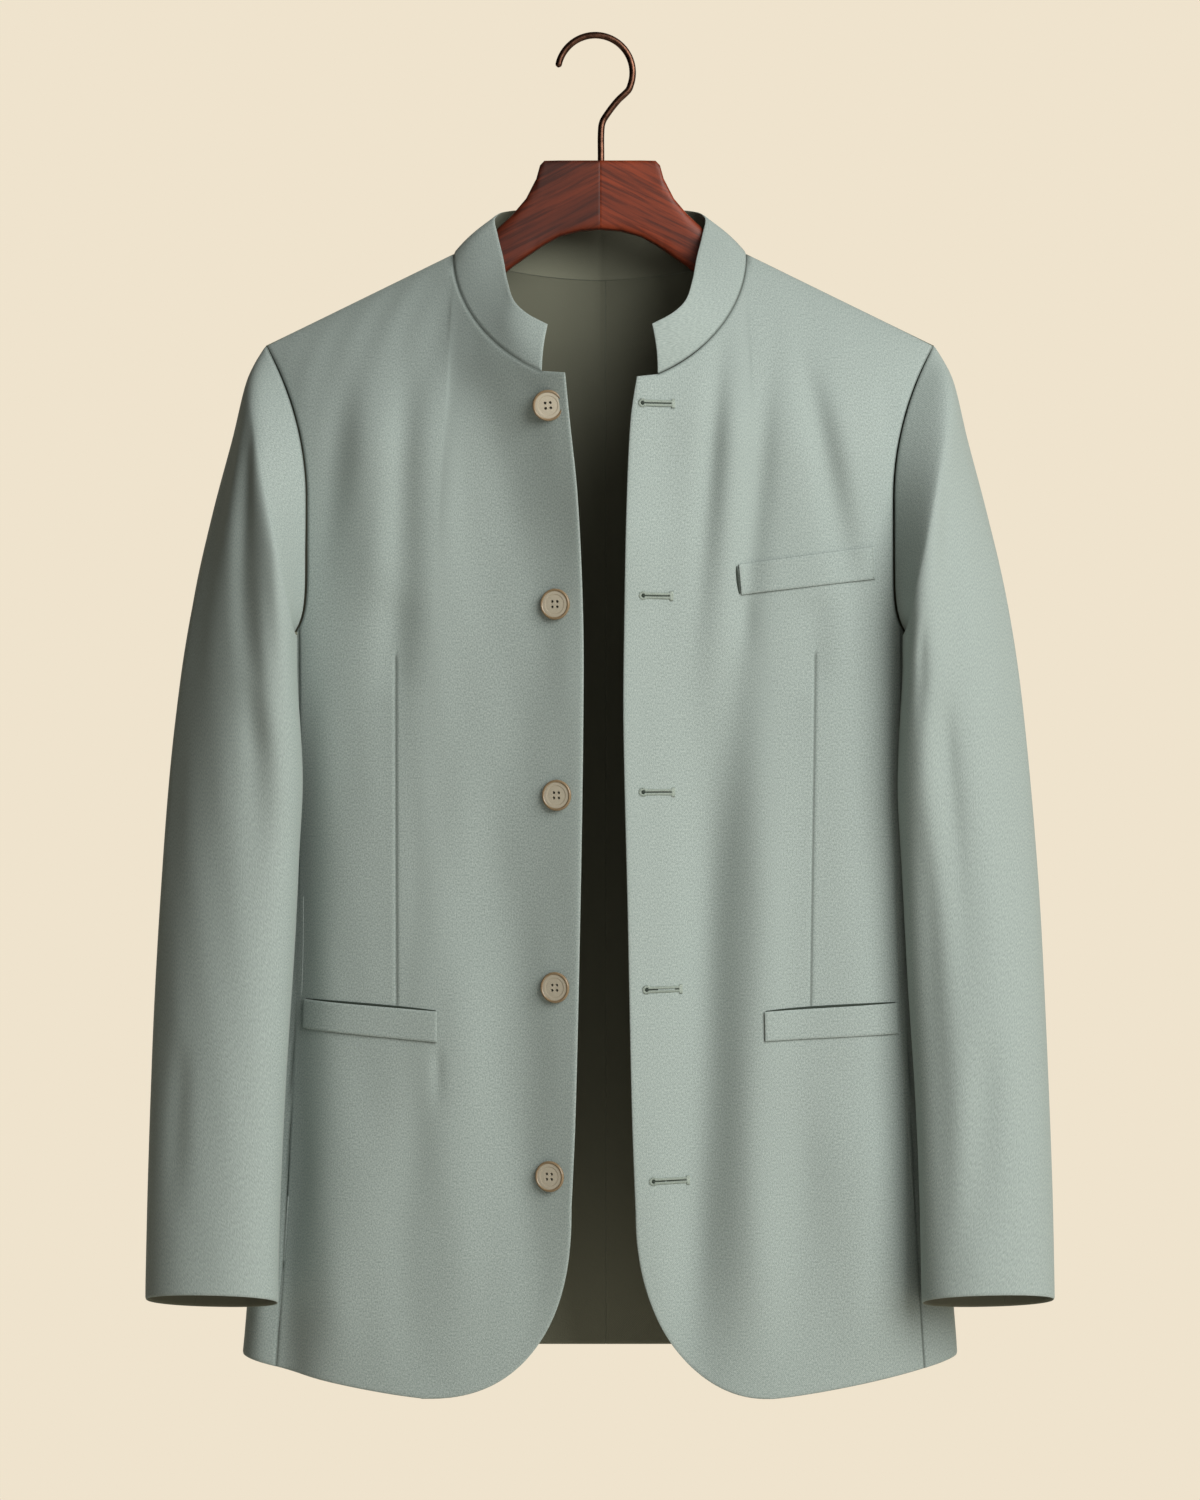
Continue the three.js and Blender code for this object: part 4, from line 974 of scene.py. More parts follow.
def build_collar():
    side_share = COLLAR["side_share"]
    count = 24 * FINE
    half = np.concatenate([
        np.linspace(0, side_share, count + 1),
        np.linspace(side_share, 1, count + 1)[1:],
        1 - np.array([0.0015, 0.004, 0.007, 0.011]),
    ])
    across = np.unique(np.round(np.concatenate([-half, half]), 6))
    height = shares(8 * FINE, (0.01, 0.025, 0.045, 0.07))
    share, rise = np.meshgrid(across, height)
    behind = 1 - ease((np.abs(share) - side_share) / COLLAR_TUCK["run"] + 1)
    rise = rise + COLLAR_TUCK["share"] * behind * (1 - rise)
    points = collar_point(share, rise)
    outward = normals_of(collar_point, share, rise, 0.004, 0.02, 1)
    from_middle = points - np.array([0, 0, -(NECK_DROP + 40)])
    outward *= np.sign(np.sum(outward * from_middle, axis=-1, keepdims=True))
    edges = [points[-1], points[:, 0], points[:, -1]]
    width = row_lengths(points, np.zeros(len(points)))
    uv = np.stack([width, column_lengths(points)], axis=-1)
    made = cloth_shell("collar", points, outward, [points[0]], edges, uv, uneven=False)


# Pocket welts, by their four corners on a front: out and drop of each
WELTS = {
    "breast_welt": (1, ((92, 362.5), (183, 350), (184, 371.5), (94, 382.5))),
    "pocket_welt_left": (-1, ((108.5, 660.5), (199.5, 654), (200, 673.5), (108.5, 681))),
    "pocket_welt_right": (1, ((109.5, 660.5), (199.5, 656), (200, 676.5), (110, 680))),
}
# rim_shade paints shade round the rim of each welt, as a thin dark outline
WELT = {"thickness": 1.4, "lift": 0.35, "rim_shade": 0.3, "turning": 8, "cut": 24}


def corner_mix(corners, u, v, k):
    a, b, c, d = (corner[k] for corner in corners)
    return mix(mix(a, b, u), mix(d, c, u), v)


def front_normal(side, out, drop):
    normal = normals_of(lambda a, b: body_point(side, -1, a, b), out, drop, BODY_STEP, BODY_STEP, 1)
    return normal * np.where(normal[..., 1:2] > 0, -1, 1)


def build_welt(name):
    side, corners = WELTS[name]
    across = shares(30 * FINE, (0.004, 0.01, 0.02))
    u, v = np.meshgrid(across, shares(8 * FINE, (0.02, 0.045, 0.08)))
    out = corner_mix(corners, u, v, 0)
    drop = corner_mix(corners, u, v, 1)
    outward = front_normal(side, out, drop)
    points = body_point(side, -1, out, drop) + outward * (WELT["lift"] + WELT["thickness"])
    edges = [points[0], points[-1], points[:, 0], points[:, -1]]
    uv = np.stack([out, drop], axis=-1)
    look = {"thickness": WELT["thickness"], "uneven": False, "rim_shade": WELT["rim_shade"]}
    made = cloth_shell(name, points, outward, [], edges, uv, **look)


# Materials


def new_material(name):
    material = bpy.data.materials.new(name)
    material.use_nodes = True
    return material, material.node_tree


def node(tree, kind, **settings):
    made = tree.nodes.new(kind)
    for key, value in settings.items():
        if hasattr(made, key):
            setattr(made, key, value)
        else:
            made.inputs[key.replace("_", " ")].default_value = value
    return made


def link(tree, source, output, target, socket):
    tree.links.new(source.outputs[output], target.inputs[socket])


def shader_of(tree):
    return next(item for item in tree.nodes if item.type == "BSDF_PRINCIPLED")


# A screen colour of 0 to 255 as the linear colour that Blender takes
def linear(*colour):
    parts = [c / 255 for c in colour]
    return (*[((c + 0.055) / 1.055) ** 2.4 if c > 10 / 255 else c / 12.92 for c in parts], 1)


def noise(tree, source, scale, detail=3, roughness=0.55, stretch=(1, 1, 1)):
    mapping = node(tree, "ShaderNodeMapping", Scale=stretch)
    tree.links.new(source, mapping.inputs["Vector"])
    made = node(tree, "ShaderNodeTexNoise", Scale=scale, Detail=detail, Roughness=roughness)
    link(tree, mapping, "Vector", made, "Vector")
    return made.outputs["Fac"]


def ramp(tree, source, stops):
    made = node(tree, "ShaderNodeValToRGB")
    elements = made.color_ramp.elements
    while len(elements) < len(stops):
        elements.new(0.5)
    for element, (position, colour) in zip(elements, stops):
        element.position = position
        element.color = colour
    tree.links.new(source, made.inputs["Fac"])
    return made.outputs["Color"]


def blend_colour(tree, factor, first, second, mode="MIX"):
    made = node(tree, "ShaderNodeMix", data_type="RGBA", blend_type=mode)
    for value, socket in ((factor, 0), (first, 6), (second, 7)):
        if isinstance(value, (int, float, tuple)):
            made.inputs[socket].default_value = value
        else:
            tree.links.new(value, made.inputs[socket])
    return made.outputs[2]


def attribute(tree, name, output="Fac"):
    return node(tree, "ShaderNodeAttribute", attribute_name=name).outputs[output]


def sums(tree, operation, first, second):
    made = node(tree, "ShaderNodeMath", operation=operation)
    for value, socket in ((first, 0), (second, 1)):
        if isinstance(value, (int, float)):
            made.inputs[socket].default_value = value
        else:
            tree.links.new(value, made.inputs[socket])
    return made.outputs[0]


def bump(tree, height, strength, distance):
    made = node(tree, "ShaderNodeBump", Strength=strength, Distance=distance)
    tree.links.new(height, made.inputs["Height"])
    tree.links.new(made.outputs["Normal"], shader_of(tree).inputs["Normal"])


def set_inputs(target, values):
    for label, value in values.items():
        target.inputs[label].default_value = value


# Colour and roughness that follow other nodes
def colour_and_roughness(tree, coloured, source, gain, base):
    shader = shader_of(tree)
    tree.links.new(coloured, shader.inputs["Base Color"])
    rough = sums(tree, "ADD", sums(tree, "MULTIPLY", source, gain), base)
    tree.links.new(rough, shader.inputs["Roughness"])
    return shader


TWILL = {"slope": math.radians(52), "scale": 330}


def cloth_material():
    material, tree = new_material("sage_twill")
    place = node(tree, "ShaderNodeUVMap", uv_map="cloth").outputs["UV"]
    heather = noise(tree, place, 1050, 3, 0.55, (1, 0.75, 1))
    slub = noise(tree, place, 620, 2, 0.5, (1, 0.2, 1))
    cloudy = noise(tree, place, 9, 2)
    fine = ramp(tree, heather, [(0.32, linear(124, 136, 133)), (0.68, linear(166, 177, 175))])
    streaked = blend_colour(tree, sums(tree, "MULTIPLY", slub, 0.3), fine, linear(130, 143, 140))
    aged = blend_colour(tree, sums(tree, "MULTIPLY", cloudy, 0.22), streaked, linear(142, 158, 155))
    # Painted shade: where the shade attribute is below 1, the colour darkens towards a deep green, at
    # seams, round the welts and on the slit pieces
    shaded = blend_colour(tree, attribute(tree, "shade"), linear(46, 55, 49), aged)
    # Painted shade on the inside face: the inside of the cloth is darkened to a dull olive
    inside_shaded = blend_colour(tree, attribute(tree, "inside"), shaded, linear(104, 106, 92))
    shader = colour_and_roughness(tree, inside_shaded, heather, 0.12, 0.78)
    set_inputs(shader, {
        "Specular IOR Level": 0.25,
        "Sheen Weight": 0.22,
        "Sheen Roughness": 0.45,
        "Sheen Tint": linear(215, 228, 220),
    })
    turned = node(tree, "ShaderNodeMapping", Rotation=(0, 0, TWILL["slope"]))
    tree.links.new(place, turned.inputs["Vector"])
    twill = node(tree, "ShaderNodeTexWave", wave_type="BANDS", bands_direction="X")
    set_inputs(twill, {"Scale": TWILL["scale"], "Distortion": 1.2, "Detail": 2})
    link(tree, turned, "Vector", twill, "Vector")
    weave = sums(tree, "ADD", sums(tree, "MULTIPLY", twill.outputs["Fac"], 0.5), heather)
    bump(tree, weave, 0.4, 0.00018)
    return material


def wood_material():
    material, tree = new_material("dark_walnut")
    grain = attribute(tree, "grain", "Vector")
    broad = noise(tree, grain, 34, 4, 0.55, (0.07, 1, 0.4))
    fine = noise(tree, grain, 420, 4, 0.6, (0.05, 1, 0.5))
    body = ramp(tree, broad, [
        (0.3, linear(52, 17, 7)),
        (0.48, linear(96, 36, 14)),
        (0.62, linear(124, 48, 20)),
        (0.78, linear(70, 24, 9)),
    ])
    streak = ramp(tree, fine, [(0.38, linear(44, 20, 12)), (0.56, linear(255, 255, 255))])
    coloured = blend_colour(tree, 0.55, body, streak, "MULTIPLY")
    shader = colour_and_roughness(tree, coloured, fine, 0.2, 0.42)
    set_inputs(shader, {"Specular IOR Level": 0.3, "Coat Weight": 0.06, "Coat Roughness": 0.3})
    bump(tree, fine, 0.25, 0.0003)
    return material


def metal_material():
    material, tree = new_material("bronze_wire")
    place = node(tree, "ShaderNodeTexCoord").outputs["Object"]
    spots = noise(tree, place, 260, 4)
    coloured = ramp(tree, spots, [(0.3, linear(62, 42, 33)), (0.7, linear(104, 74, 60))])
    shader = colour_and_roughness(tree, coloured, spots, 0.2, 0.22)
    set_inputs(shader, {"Metallic": 1})
    bump(tree, spots, 0.15, 0.0002)
    return material


def horn_material():
    material, tree = new_material("horn_button")
    place = node(tree, "ShaderNodeTexCoord").outputs["Object"]
    veins = noise(tree, place, 160, 4, 0.6, (1, 0.3, 1))
    face = ramp(tree, veins, [(0.3, linear(160, 152, 134)), (0.7, linear(190, 184, 168))])
    brown = ramp(tree, veins, [(0.3, linear(100, 82, 60)), (0.7, linear(148, 128, 98))])
    coloured = blend_colour(tree, attribute(tree, "rim"), face, brown)
    shader = colour_and_roughness(tree, coloured, veins, 0.15, 0.3)
    set_inputs(shader, {"Coat Weight": 0.3, "Coat Roughness": 0.2})
    bump(tree, veins, 0.1, 0.0002)
    return material


def thread_material(name, light, dark):
    material, tree = new_material(name)
    place = node(tree, "ShaderNodeTexCoord").outputs["Object"]
    twist = noise(tree, place, 2400, 2)
    coloured = ramp(tree, twist, [(0.3, dark), (0.7, light)])
    colour_and_roughness(tree, coloured, twist, 0.2, 0.55)
    bump(tree, twist, 0.3, 0.0002)
    return material


CLOTH_MATERIAL = cloth_material()
WOOD_MATERIAL = wood_material()
METAL_MATERIAL = metal_material()
HORN_MATERIAL = horn_material()
HOLE_THREAD = thread_material("buttonhole_thread", linear(166, 178, 170), linear(112, 124, 116))
# Thread in the holes of the buttons: real thread, coloured dark as painted shade inside the holes
BUTTON_THREAD_SHADE = thread_material("button_thread", linear(84, 82, 70), linear(56, 54, 46))

for side in (-1, 1):
    build_front(side)
    build_back(side)
    build_side(side)
    build_sleeve(side, "upper")
    build_sleeve(side, "under")
build_collar()
for welt_name in WELTS:
    build_welt(welt_name)


# A closed solid from rings of points, as vertices and faces
def ring_solid(rings, flip=False):
    rows, sides = rings.shape[:2]
    at = np.arange(rows * sides).reshape(rows, sides)
    beside = np.roll(at, -1, axis=1)
    quads = np.stack([at[:-1], at[1:], beside[1:], beside[:-1]], axis=-1).reshape(-1, 4)
    faces = quads.tolist() + [at[0].tolist(), at[-1, ::-1].tolist()]
    if flip:
        faces = [face[::-1] for face in faces]
    return rings.reshape(-1, 3), faces


# Several solids as one list of vertices and one of faces
def joined(solids):
    base = 0
    all_faces = []
    for vertices, faces in solids:
        all_faces += [[base + k for k in face] for face in faces]
        base += len(vertices)
    return np.concatenate([vertices for vertices, _ in solids]), all_faces


# Hanger, by sections along one half
HANGER = table("out top bottom half_thick power", [
    (0, 83.6, 130.5, 6.5, 6),
    (14, 83.6, 131.6, 6.5, 6),
    (28, 83.6, 135.5, 6.5, 6),
    (38, 83.8, 141, 6.5, 6),
    (41, 87, 143, 6.5, 6),
    (43.5, 96, 144.7, 6.5, 5),
    (50.5, 109.6, 149.6, 6.5, 5),
    (59, 119.6, 155.5, 6.5, 4),
    (74, 133.5, 168, 6.2, 2.6),
    (88, 146, 178, 5.8, 2.2),
    (104, 153.5, 188, 6, 2),
    (122, 160.2, 197, 7, 1.8),
    (150, 174, 211, 8, 1.7),
    (180, 188.8, 224, 7.5, 1.7),
    (198, 197.6, 229, 5.5, 1.7),
    (204, 203, 226, 4, 1.8),
])
GRAIN = {"slope": math.radians(27), "apart": 40}
HANGER_BEVEL = {"width": 0.4, "segments": 2, "limit": math.radians(50)}


def build_hanger(side):
    hand = HAND[side]
    out = np.unique(np.concatenate([np.linspace(0, 204, 60 * FINE), HANGER["out"]]))
    # Straight runs between the sections, so that nothing stands out past them
    section = {name: np.interp(out, HANGER["out"], column) for name, column in HANGER.items()}
    count = 32 * FINE
    angle = 2 * math.pi * (np.arange(count) + 0.5) / count
    cosine = np.cos(angle)[None, :]
    sine = np.sin(angle)[None, :]
    power = 2 / section["power"][:, None]
    half = ((section["bottom"] - section["top"]) / 2)[:, None]
    middle = -((section["bottom"] + section["top"]) / 2)[:, None]
    y = np.sign(cosine) * np.abs(cosine) ** power * section["half_thick"][:, None]
    z = middle + np.sign(sine) * np.abs(sine) ** power * half
    x = np.broadcast_to(side * out[:, None], y.shape)
    vertices, faces = ring_solid(np.stack([x, y, z], axis=-1), side > 0)
    cosine = math.cos(GRAIN["slope"])
    sine = math.sin(GRAIN["slope"])
    along = side * vertices[:, 0] * cosine - vertices[:, 2] * sine
    across = side * vertices[:, 0] * sine + vertices[:, 2] * cosine
    grain = np.stack([along, across, vertices[:, 1] + side * GRAIN["apart"]], axis=-1) * MM
    made = new_object(f"hanger_{hand}", vertices, faces, WOOD_MATERIAL, {"grain": grain})
    bevel = made.modifiers.new("ends", "BEVEL")
    bevel.width = HANGER_BEVEL["width"] * MM
    bevel.segments = HANGER_BEVEL["segments"]
    bevel.limit_method = "ANGLE"
    bevel.angle_limit = HANGER_BEVEL["limit"]
    settle(made, "hanger_wood", f"hanger_{hand}")


# A tube along a route, closed at both ends
def tube(route, radius, sides):
    route = np.asarray(route, float)
    tangent = unit(np.gradient(route, axis=0))
    side_way = np.array([0, 1.0, 0])
    first = unit(np.cross(tangent, side_way))
    second = unit(np.cross(tangent, first))
    angle = 2 * math.pi * np.arange(sides) / sides
    radius = np.broadcast_to(radius, len(route))[:, None, None]
    cosine = np.cos(angle)[None, :, None]
    sine = np.sin(angle)[None, :, None]
    ring = cosine * first[:, None, :] + sine * second[:, None, :]
    return ring_solid(route[:, None, :] + radius * ring)


HOOK = {"wire": 2.3, "arc": 25.6, "tip": 172, "end": -28}
HOOK_BEND = ((12, -42.5), (5, -51.5), (1.6, -57.5), (0.7, -65), (0.7, -80), (0.7, -104))


def smooth_route(points, count):
    points = np.asarray(points, float)
    runs = np.linalg.norm(np.diff(points, axis=0), axis=1)
    keys = np.concatenate([[0], np.cumsum(runs)])
    rows = {"key": keys, **{str(k): points[:, k] for k in range(points.shape[1])}}
    found = look_up(rows, "key", np.linspace(0, keys[-1], count))
    return np.stack([found[str(k)] for k in range(points.shape[1])], axis=-1)


def build_hook():
    angle = np.radians(np.arange(HOOK["tip"], HOOK["end"] - 1, -10))
    radius = HOOK["arc"]
    centre = (-SHIFT, HOOK["wire"] - radius)
    arc = [(centre[0] + radius * math.cos(a), 0, centre[1] + radius * math.sin(a)) for a in angle]
    bend = [(x, 0, z) for x, z in HOOK_BEND]
    route = smooth_route(arc + bend, 110 * FINE)
    start = np.linalg.norm(route - route[0], axis=1)
    rounding = np.sqrt(1 - (1 - clamp(start / HOOK["wire"], 0.02, 1)) ** 2)
    vertices, faces = tube(route, HOOK["wire"] * rounding, 12 * FINE)
    settle(new_object("hook", vertices, faces, METAL_MATERIAL), "hook_metal", "hook")


build_hanger(-1)
build_hanger(1)
build_hook()


# Buttons: out and drop on the left front, and how far each is turned to its side, in degrees
BUTTON_ROWS = (
    (33.8, 257.9, -22),
    (29, 389.3, -3),
    (28, 516, 0),
    (29.1, 643.8, 0),
    (32.7, 769.8, 0),
)
BUTTON = {"hole": 1.0, "pitch": 1.75, "gap": 0.9, "thread": 0.8, "thread_top": 0.9}
# Outline of half a button: distance from its middle, height, and 1 on the rim
BUTTON_PROFILE = (
    (0, 0, 0), (8.6, 0, 0), (9.8, 0.25, 0.6), (10.35, 0.9, 1), (10.4, 1.6, 1), (10.2, 2.2, 1),
    (9.8, 2.5, 1), (9.4, 2.6, 1), (9.0, 2.5, 1), (8.8, 2.25, 1), (8.65, 2.1, 0.5), (8.4, 2.12, 0),
    (7.0, 2.2, 0), (6.7, 2.18, 0.15), (6.45, 2.0, 0.3), (6.2, 2.0, 0.1), (5.8, 2.02, 0),
    (3, 2.0, 0), (0, 2.0, 0),
)


def surface_frame(side, out, drop):
    out = np.asarray(out, float)
    drop = np.asarray(drop, float)
    point = body_point(side, -1, out, drop)
    normal = front_normal(side, out, drop)
    upward = np.zeros_like(normal)
    upward[..., 2] = 1
    across = unit(np.cross(upward, normal))
    return point, normal, across, np.cross(normal, across)


def button_mesh():
    body = bmesh.new()
    rim = body.verts.layers.float.new("rim")
    turns = 48 * FINE // 2
    rings = []
    for radius, height, share in BUTTON_PROFILE:
        ring = []
        places = 1 if radius == 0 else turns
        for k in range(places):
            angle = 2 * math.pi * k / turns
            vertex = body.verts.new((radius * math.cos(angle), radius * math.sin(angle), height))
            vertex[rim] = share
            ring.append(vertex)
        rings.append(ring)
    for low, high in zip(rings, rings[1:]):
        for k in range(turns):
            after = (k + 1) % turns
            below = [low[k % len(low)], low[after % len(low)]]
            above = [high[after % len(high)], high[k % len(high)]]
            # At the middle two corners are one, which leaves a triangle
            body.faces.new(list(dict.fromkeys(below + above)))
    bmesh.ops.recalc_face_normals(body, faces=body.faces)
    mesh = bpy.data.meshes.new("button")
    body.to_mesh(mesh)
    body.free()
    return mesh


def pierced_button():
    blank = add_object("blank", button_mesh())
    drill = bmesh.new()
    for x in (-1, 1):
        for y in (-1, 1):
            place = Matrix.Translation((x * BUTTON["pitch"], y * BUTTON["pitch"], 1))
            bmesh.ops.create_cone(
                drill, cap_ends=True, segments=14, radius1=BUTTON["hole"], radius2=BUTTON["hole"],
                depth=6, matrix=place,
            )
    drill_mesh = bpy.data.meshes.new("drill")
    drill.to_mesh(drill_mesh)
    drill.free()
    cutter = add_object("drill", drill_mesh)
    cut = blank.modifiers.new("holes", "BOOLEAN")
    cut.operation = "DIFFERENCE"
    cut.solver = "EXACT"
    cut.object = cutter
    graph = bpy.context.evaluated_depsgraph_get()
    pierced = bpy.data.meshes.new_from_object(blank.evaluated_get(graph))
    bpy.data.objects.remove(blank)
    bpy.data.objects.remove(cutter)
    pierced.name = "pierced_button"
    pierced.materials.clear()
    pierced.materials.append(HORN_MATERIAL)
    pierced.shade_smooth()
    pierced.set_sharp_from_angle(angle=math.radians(38))
    return pierced


STITCH_SIDES = 6
# Outline of a stitch: share of its length, and of its full radius
STITCH_PROFILE = ((0, 0.3), (0.15, 0.8), (0.5, 1), (0.85, 0.8), (1, 0.3))


# Stitches as one mesh: slim spindles of thread between pairs of points
def stitches(name, pairs, radius, material):
    turn = 2 * math.pi * np.arange(STITCH_SIDES)[:, None] / STITCH_SIDES
    share, size = np.array(STITCH_PROFILE).T
    solids = []
    for start, end in pairs:
        run = unit(end - start)
        helper = np.array([0, 0, 1.0]) if abs(run[2]) < 0.8 else np.array([1.0, 0, 0])
        first = unit(np.cross(run, helper))
        second = np.cross(run, first)
        around = np.cos(turn) * first + np.sin(turn) * second
        middle = mix(start, end, share[:, None])
        solids.append(ring_solid(middle[:, None] + radius * size[:, None, None] * around, True))
    settle(new_object(name, *joined(solids), material), "cloth")


def to_world(place):
    return Vector(((place[0] + SHIFT) * MM, place[1] * MM, place[2] * MM))


def build_buttons():
    mesh = pierced_button()
    pairs = []
    for index, (out, drop, turn) in enumerate(BUTTON_ROWS):
        point, normal, across, down = surface_frame(-1, out, drop)
        seat = point + normal * BUTTON["gap"]
        basis = Matrix((across, -down, normal)).transposed()
        if basis.determinant() < 0:
            basis = Matrix((-across, -down, normal)).transposed()
        basis = basis.to_4x4() @ Matrix.Rotation(math.radians(turn), 4, "Y")
        made = add_object(f"button_{index + 1}", mesh)
        made.matrix_world = Matrix.Translation(to_world(seat)) @ basis @ Matrix.Scale(MM, 4)
        settle(made, "buttons", f"button_{index + 1}")
        local = np.array(basis.to_3x3())
        pitch = BUTTON["pitch"]
        for x in (-1, 1):
            for y in (-1, 1):
                ends = (-BUTTON["gap"], BUTTON["thread_top"])
                pairs.append([seat + local @ np.array((x * pitch, y * pitch, end)) for end in ends])
    # Painted shade: dark thread fills each hole of a button
    stitches("button_thread", pairs, BUTTON["thread"], BUTTON_THREAD_SHADE)


# Buttonholes on the right front: out of the eyelet end, of the bar end, and drop
BUTTONHOLES = (
    (28.2, 47.4, 255.5),
    (28.6, 46.2, 383.6),
    (28.6, 47.4, 514),
    (31, 52.4, 645.4),
    (35.6, 57.6, 773.6),
)
HOLE = {
    "eyelet": 1.3,
    "lip": 0.35,
    "pitch": 0.7,
    "reach": 1.9,
    "wobble": 0.12,
    "radius": 0.46,
    "heights": (0.42, 0.12),
    "slit": 0.42,
    "slit_heights": (0.05, 0.3),
}
EYELET_STITCHES = {"count": 13, "from": 50, "sweep": 260}
BAR = {"count": 5, "start": 0.5, "pitch": 0.42, "half": 3.3, "height": 0.5}


# A place on a front, raised off its cloth
def raised(side, out, drop, height):
    point, normal, _, _ = surface_frame(side, out, drop)
    return point + normal * height


# Ends of one stitch between two places on the right front, each raised by a height
def stitch_between(places, heights):
    return [raised(1, *place, height) for place, height in zip(places, heights)]


# Where the stitches of a buttonhole start, from its eyelet, and the way in which each one runs
def stitch_starts(length):
    starts = []
    count = int(length / HOLE["pitch"])
    for k in range(count + 1):
        along = mix(HOLE["eyelet"], length, k / count)
        starts.append((along, HOLE["lip"], 0, 1))
        starts.append((along, -HOLE["lip"], 0, -1))
    last = EYELET_STITCHES["count"] - 1
    for k in range(last + 1):
        angle = math.radians(EYELET_STITCHES["from"] + EYELET_STITCHES["sweep"] * k / last)
        x = math.cos(angle)
        y = math.sin(angle)
        starts.append((x * HOLE["eyelet"], y * HOLE["eyelet"], x, y))
    return starts


def hole_outline(eye_out, bar_out, drop):
    radius = HOLE["eyelet"]
    outline = [(bar_out, drop + HOLE["slit"])]
    for angle in np.radians(range(30, 331, 30)):
        outline.append((eye_out + radius * math.cos(angle), drop + radius * math.sin(angle)))
    outline.append((bar_out, drop - HOLE["slit"]))
    return outline


# A thin piece that lies on a front, from vertices and faces, coloured wholly with the painted seam
# shade: it stands for the shade in an opening
def painted_shade_piece(name, vertices, faces):
    vertices = np.asarray(vertices)
    zeros = np.zeros(len(vertices))
    shading = {"shade": zeros, "inside": zeros}
    settle(new_object(name, vertices, faces, CLOTH_MATERIAL, shading, vertices[:, [0, 2]]), "cloth")


def build_buttonholes():
    pairs = []
    for eye_out, bar_out, drop in BUTTONHOLES:
        for along, up, run_along, run_up in stitch_starts(bar_out - eye_out):
            start = (eye_out + along, drop - up)
            reach = HOLE["reach"] + random.uniform(-HOLE["wobble"], HOLE["wobble"])
            end = (start[0] + run_along * reach, start[1] - run_up * reach)
            pairs.append(stitch_between((start, end), HOLE["heights"]))
        for k in range(BAR["count"]):
            out = bar_out + BAR["start"] + k * BAR["pitch"]
            places = ((out, drop + BAR["half"]), (out, drop - BAR["half"]))
            pairs.append(stitch_between(places, (BAR["height"], BAR["height"])))
    stitches("buttonhole_thread", pairs, HOLE["radius"], HOLE_THREAD)
    # Painted shade in the opening of each buttonhole, as a thin dark piece
    solids = []
    for hole in BUTTONHOLES:
        outline = hole_outline(*hole)
        rings = [[raised(1, *place, height) for place in outline] for height in HOLE["slit_heights"]]
        solids.append(ring_solid(np.array(rings)))
    painted_shade_piece("buttonhole_slit_shades", *joined(solids))


# Painted shade where a pocket opens: a thin dark strip along one edge of a welt
SLITS = (
    ("pocket_slit_shade_left", -1, (109.5, 660.2), (198, 653.9), 1.5),
    ("pocket_slit_shade_right", 1, (110.5, 660.2), (198, 655.8), 1.5),
    ("breast_slit_shade", 1, (91.2, 363.5), (93.2, 382), 1.3),
)
SLIT = {"count": 40, "shifts": (-0.2, 1.0), "heights": (0.1, 0.45), "taper": 0.4}


def build_slits():
    near, far = SLIT["shifts"]
    low, high = SLIT["heights"]
    t = np.linspace(0, 1, SLIT["count"])
    for name, side, start, end, width in SLITS:
        out = mix(start[0], end[0], t)
        drop = mix(start[1], end[1], t)
        run = unit(np.array([end[0] - start[0], end[1] - start[1]]))
        half = width * np.sin(math.pi * clamp(t, 0.02, 0.98)) ** SLIT["taper"]
        aside = (-1, 0) if name == "breast_slit_shade" else (run[1], -run[0])
        lines = []
        for shift, height in ((near, low), (near, high), (far, high), (far, low)):
            place = (out + aside[0] * half * shift, drop + aside[1] * half * shift)
            lines.append(raised(side, *place, height))
        painted_shade_piece(name, *ring_solid(np.stack(lines, axis=1), True))


WELT_STITCHES = {
    "count": 9,
    "along": 0.985,
    "margin": 0.06,
    "slope": 0.3,
    "half": 0.75,
    "radius": 0.24,
}


# Small stitches that hold the end of the breast welt
def build_welt_stitches():
    pairs = []
    _, corners = WELTS["breast_welt"]
    height = WELT["lift"] + WELT["thickness"] + 0.05
    margin = WELT_STITCHES["margin"]
    for v in np.linspace(margin, 1 - margin, WELT_STITCHES["count"]):
        out = corner_mix(corners, WELT_STITCHES["along"], v, 0)
        drop = corner_mix(corners, WELT_STITCHES["along"], v, 1)
        shifts = (-WELT_STITCHES["half"], WELT_STITCHES["half"])
        places = [(out + WELT_STITCHES["slope"] * shift, drop + shift) for shift in shifts]
        pairs.append(stitch_between(places, (height, height)))
    stitches("welt_stitches", pairs, WELT_STITCHES["radius"], HOLE_THREAD)


build_buttons()
build_buttonholes()
build_slits()
build_welt_stitches()

# Stage, light and camera
WORLD_COLOUR = linear(240, 228, 206)
# Strength of the surrounding light on each side, and of the pale ground behind the garment
WORLD_LIGHT = {"left": 0.0, "right": 0.33, "behind": 0.99}
WORLD_RISE = {"From Min": 0.6, "From Max": 0.95}
FLOOR_DROP = 1.62
FLOOR_SIZE = 5
KEY_LIGHT = {
    "place": (1.95, -2.35, 0.9),
    "aim": (0, 0, -0.42),
    "size": 2.4,
    "power": 150,
    "colour": linear(255, 253, 248),
}
FILL_LIGHT = {
    "place": (0.2, -3.3, -0.3),
    "aim": (0, 0, -0.5),
    "size": 1.6,
    "power": 8,
    "colour": linear(250, 250, 250),
}


def plain_material(name, colour, roughness):
    material, tree = new_material(name)
    set_inputs(shader_of(tree), {"Base Color": colour, "Roughness": roughness})
    return material


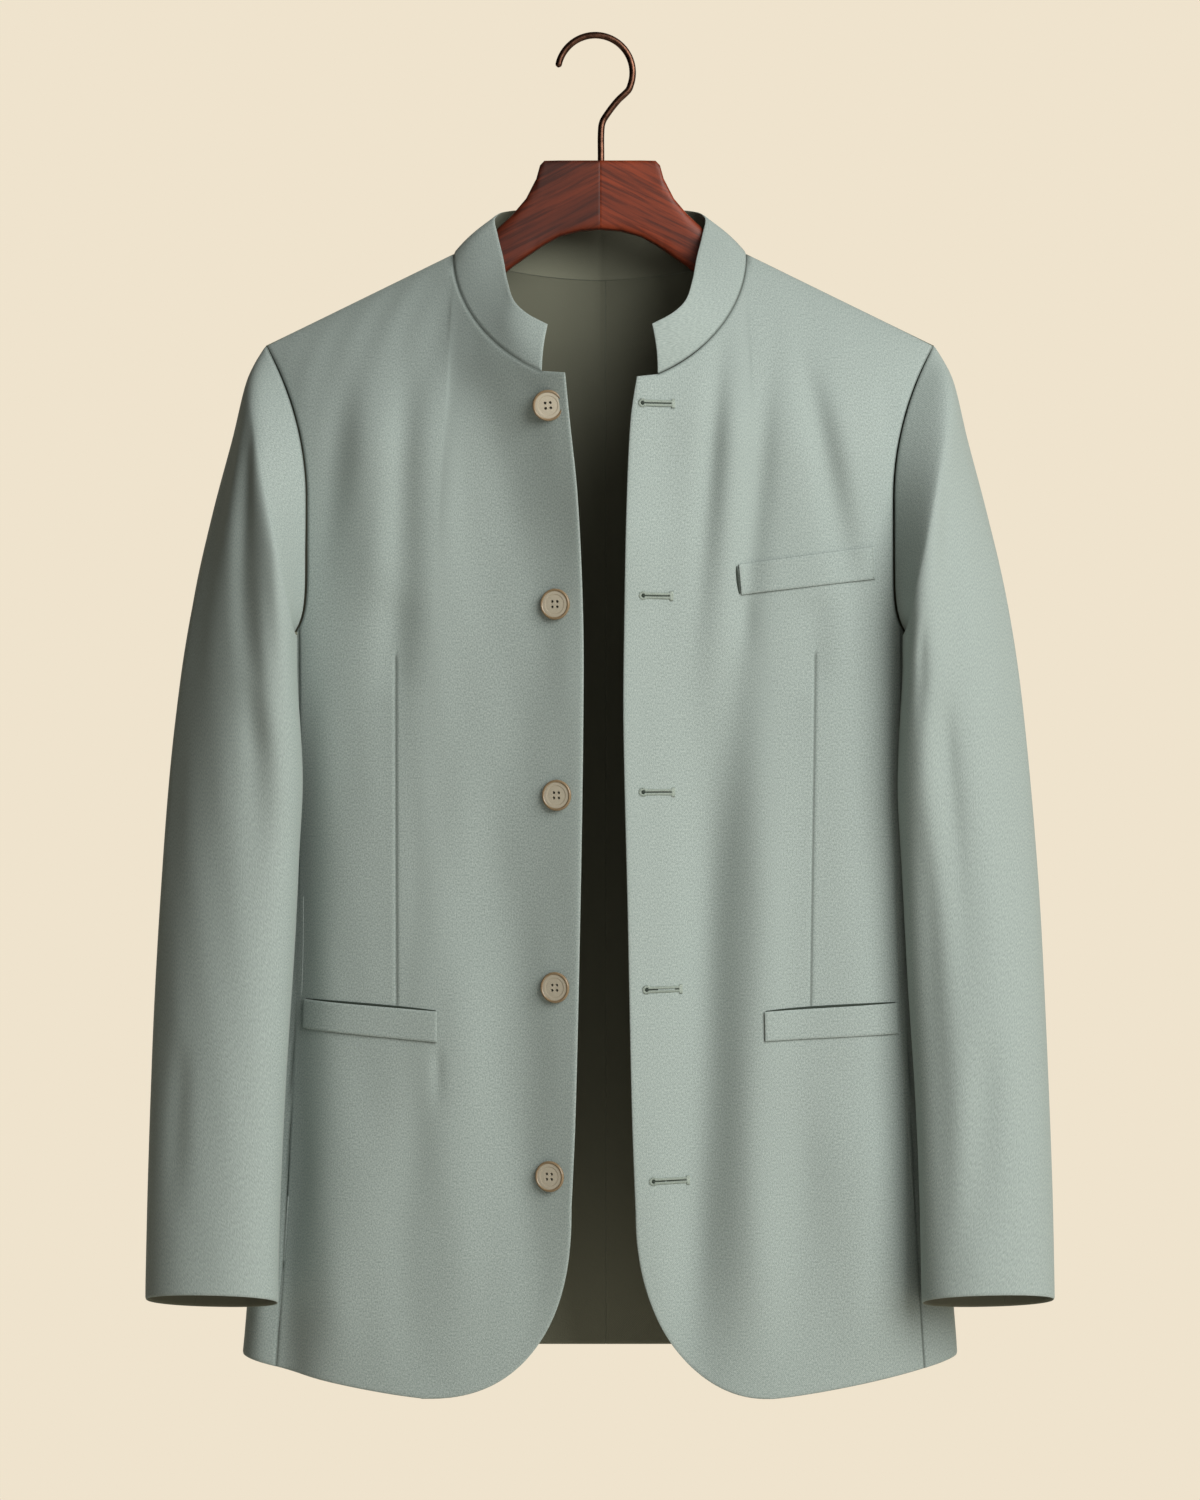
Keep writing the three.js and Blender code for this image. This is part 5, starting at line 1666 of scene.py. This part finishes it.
def build_floor():
    half = FLOOR_SIZE / 2
    mesh = bpy.data.meshes.new("floor")
    corners = [(-half, -half, 0), (half, -half, 0), (half, half, 0), (-half, half, 0)]
    mesh.from_pydata(corners, [], [(0, 1, 2, 3)])
    mesh.materials.append(plain_material("floor", linear(226, 220, 208), 0.9))
    floor = add_object("floor", mesh)
    floor.location = (0, 0, -FLOOR_DROP)


def add_area(name, place, aim, size, power, colour):
    data = bpy.data.lights.new(name, "AREA")
    data.size = size
    data.energy = power
    data.color = colour[:3]
    lamp = add_object(name, data)
    lamp.location = place
    lamp.rotation_euler = (Vector(aim) - Vector(place)).to_track_quat("-Z", "Y").to_euler()


def build_stage():
    build_floor()
    world = bpy.data.worlds.new("studio")
    world.use_nodes = True
    tree = world.node_tree
    background = tree.nodes["Background"]
    background.inputs["Color"].default_value = WORLD_COLOUR
    way = node(tree, "ShaderNodeSeparateXYZ")
    link(tree, node(tree, "ShaderNodeTexCoord"), "Generated", way, "Vector")
    rise = node(tree, "ShaderNodeMapRange", interpolation_type="SMOOTHSTEP")
    set_inputs(rise, WORLD_RISE)
    link(tree, way, "Y", rise, "Value")
    around = node(tree, "ShaderNodeMapRange")
    ends = {"To Min": WORLD_LIGHT["left"], "To Max": WORLD_LIGHT["right"]}
    set_inputs(around, {"From Min": -1, **ends})
    link(tree, way, "X", around, "Value")
    strength = node(tree, "ShaderNodeMix")
    strength.inputs["B"].default_value = WORLD_LIGHT["behind"]
    link(tree, rise, "Result", strength, "Factor")
    link(tree, around, "Result", strength, "A")
    link(tree, strength, "Result", background, "Strength")
    bpy.context.scene.world = world
    add_area("key", **KEY_LIGHT)
    add_area("fill", **FILL_LIGHT)


CAMERA_PLACE = (SHIFT * MM, -3.0, -0.486)
CAMERA_LENS = 105.4


def build_camera():
    data = bpy.data.cameras.new("camera")
    data.sensor_width = 36
    data.lens = CAMERA_LENS
    data.clip_end = 50
    camera = add_object("camera", data)
    camera.location = CAMERA_PLACE
    camera.rotation_euler = (math.radians(90), 0, 0)
    bpy.context.scene.camera = camera
    bpy.context.scene.view_settings.view_transform = "Standard"


build_stage()
build_camera()
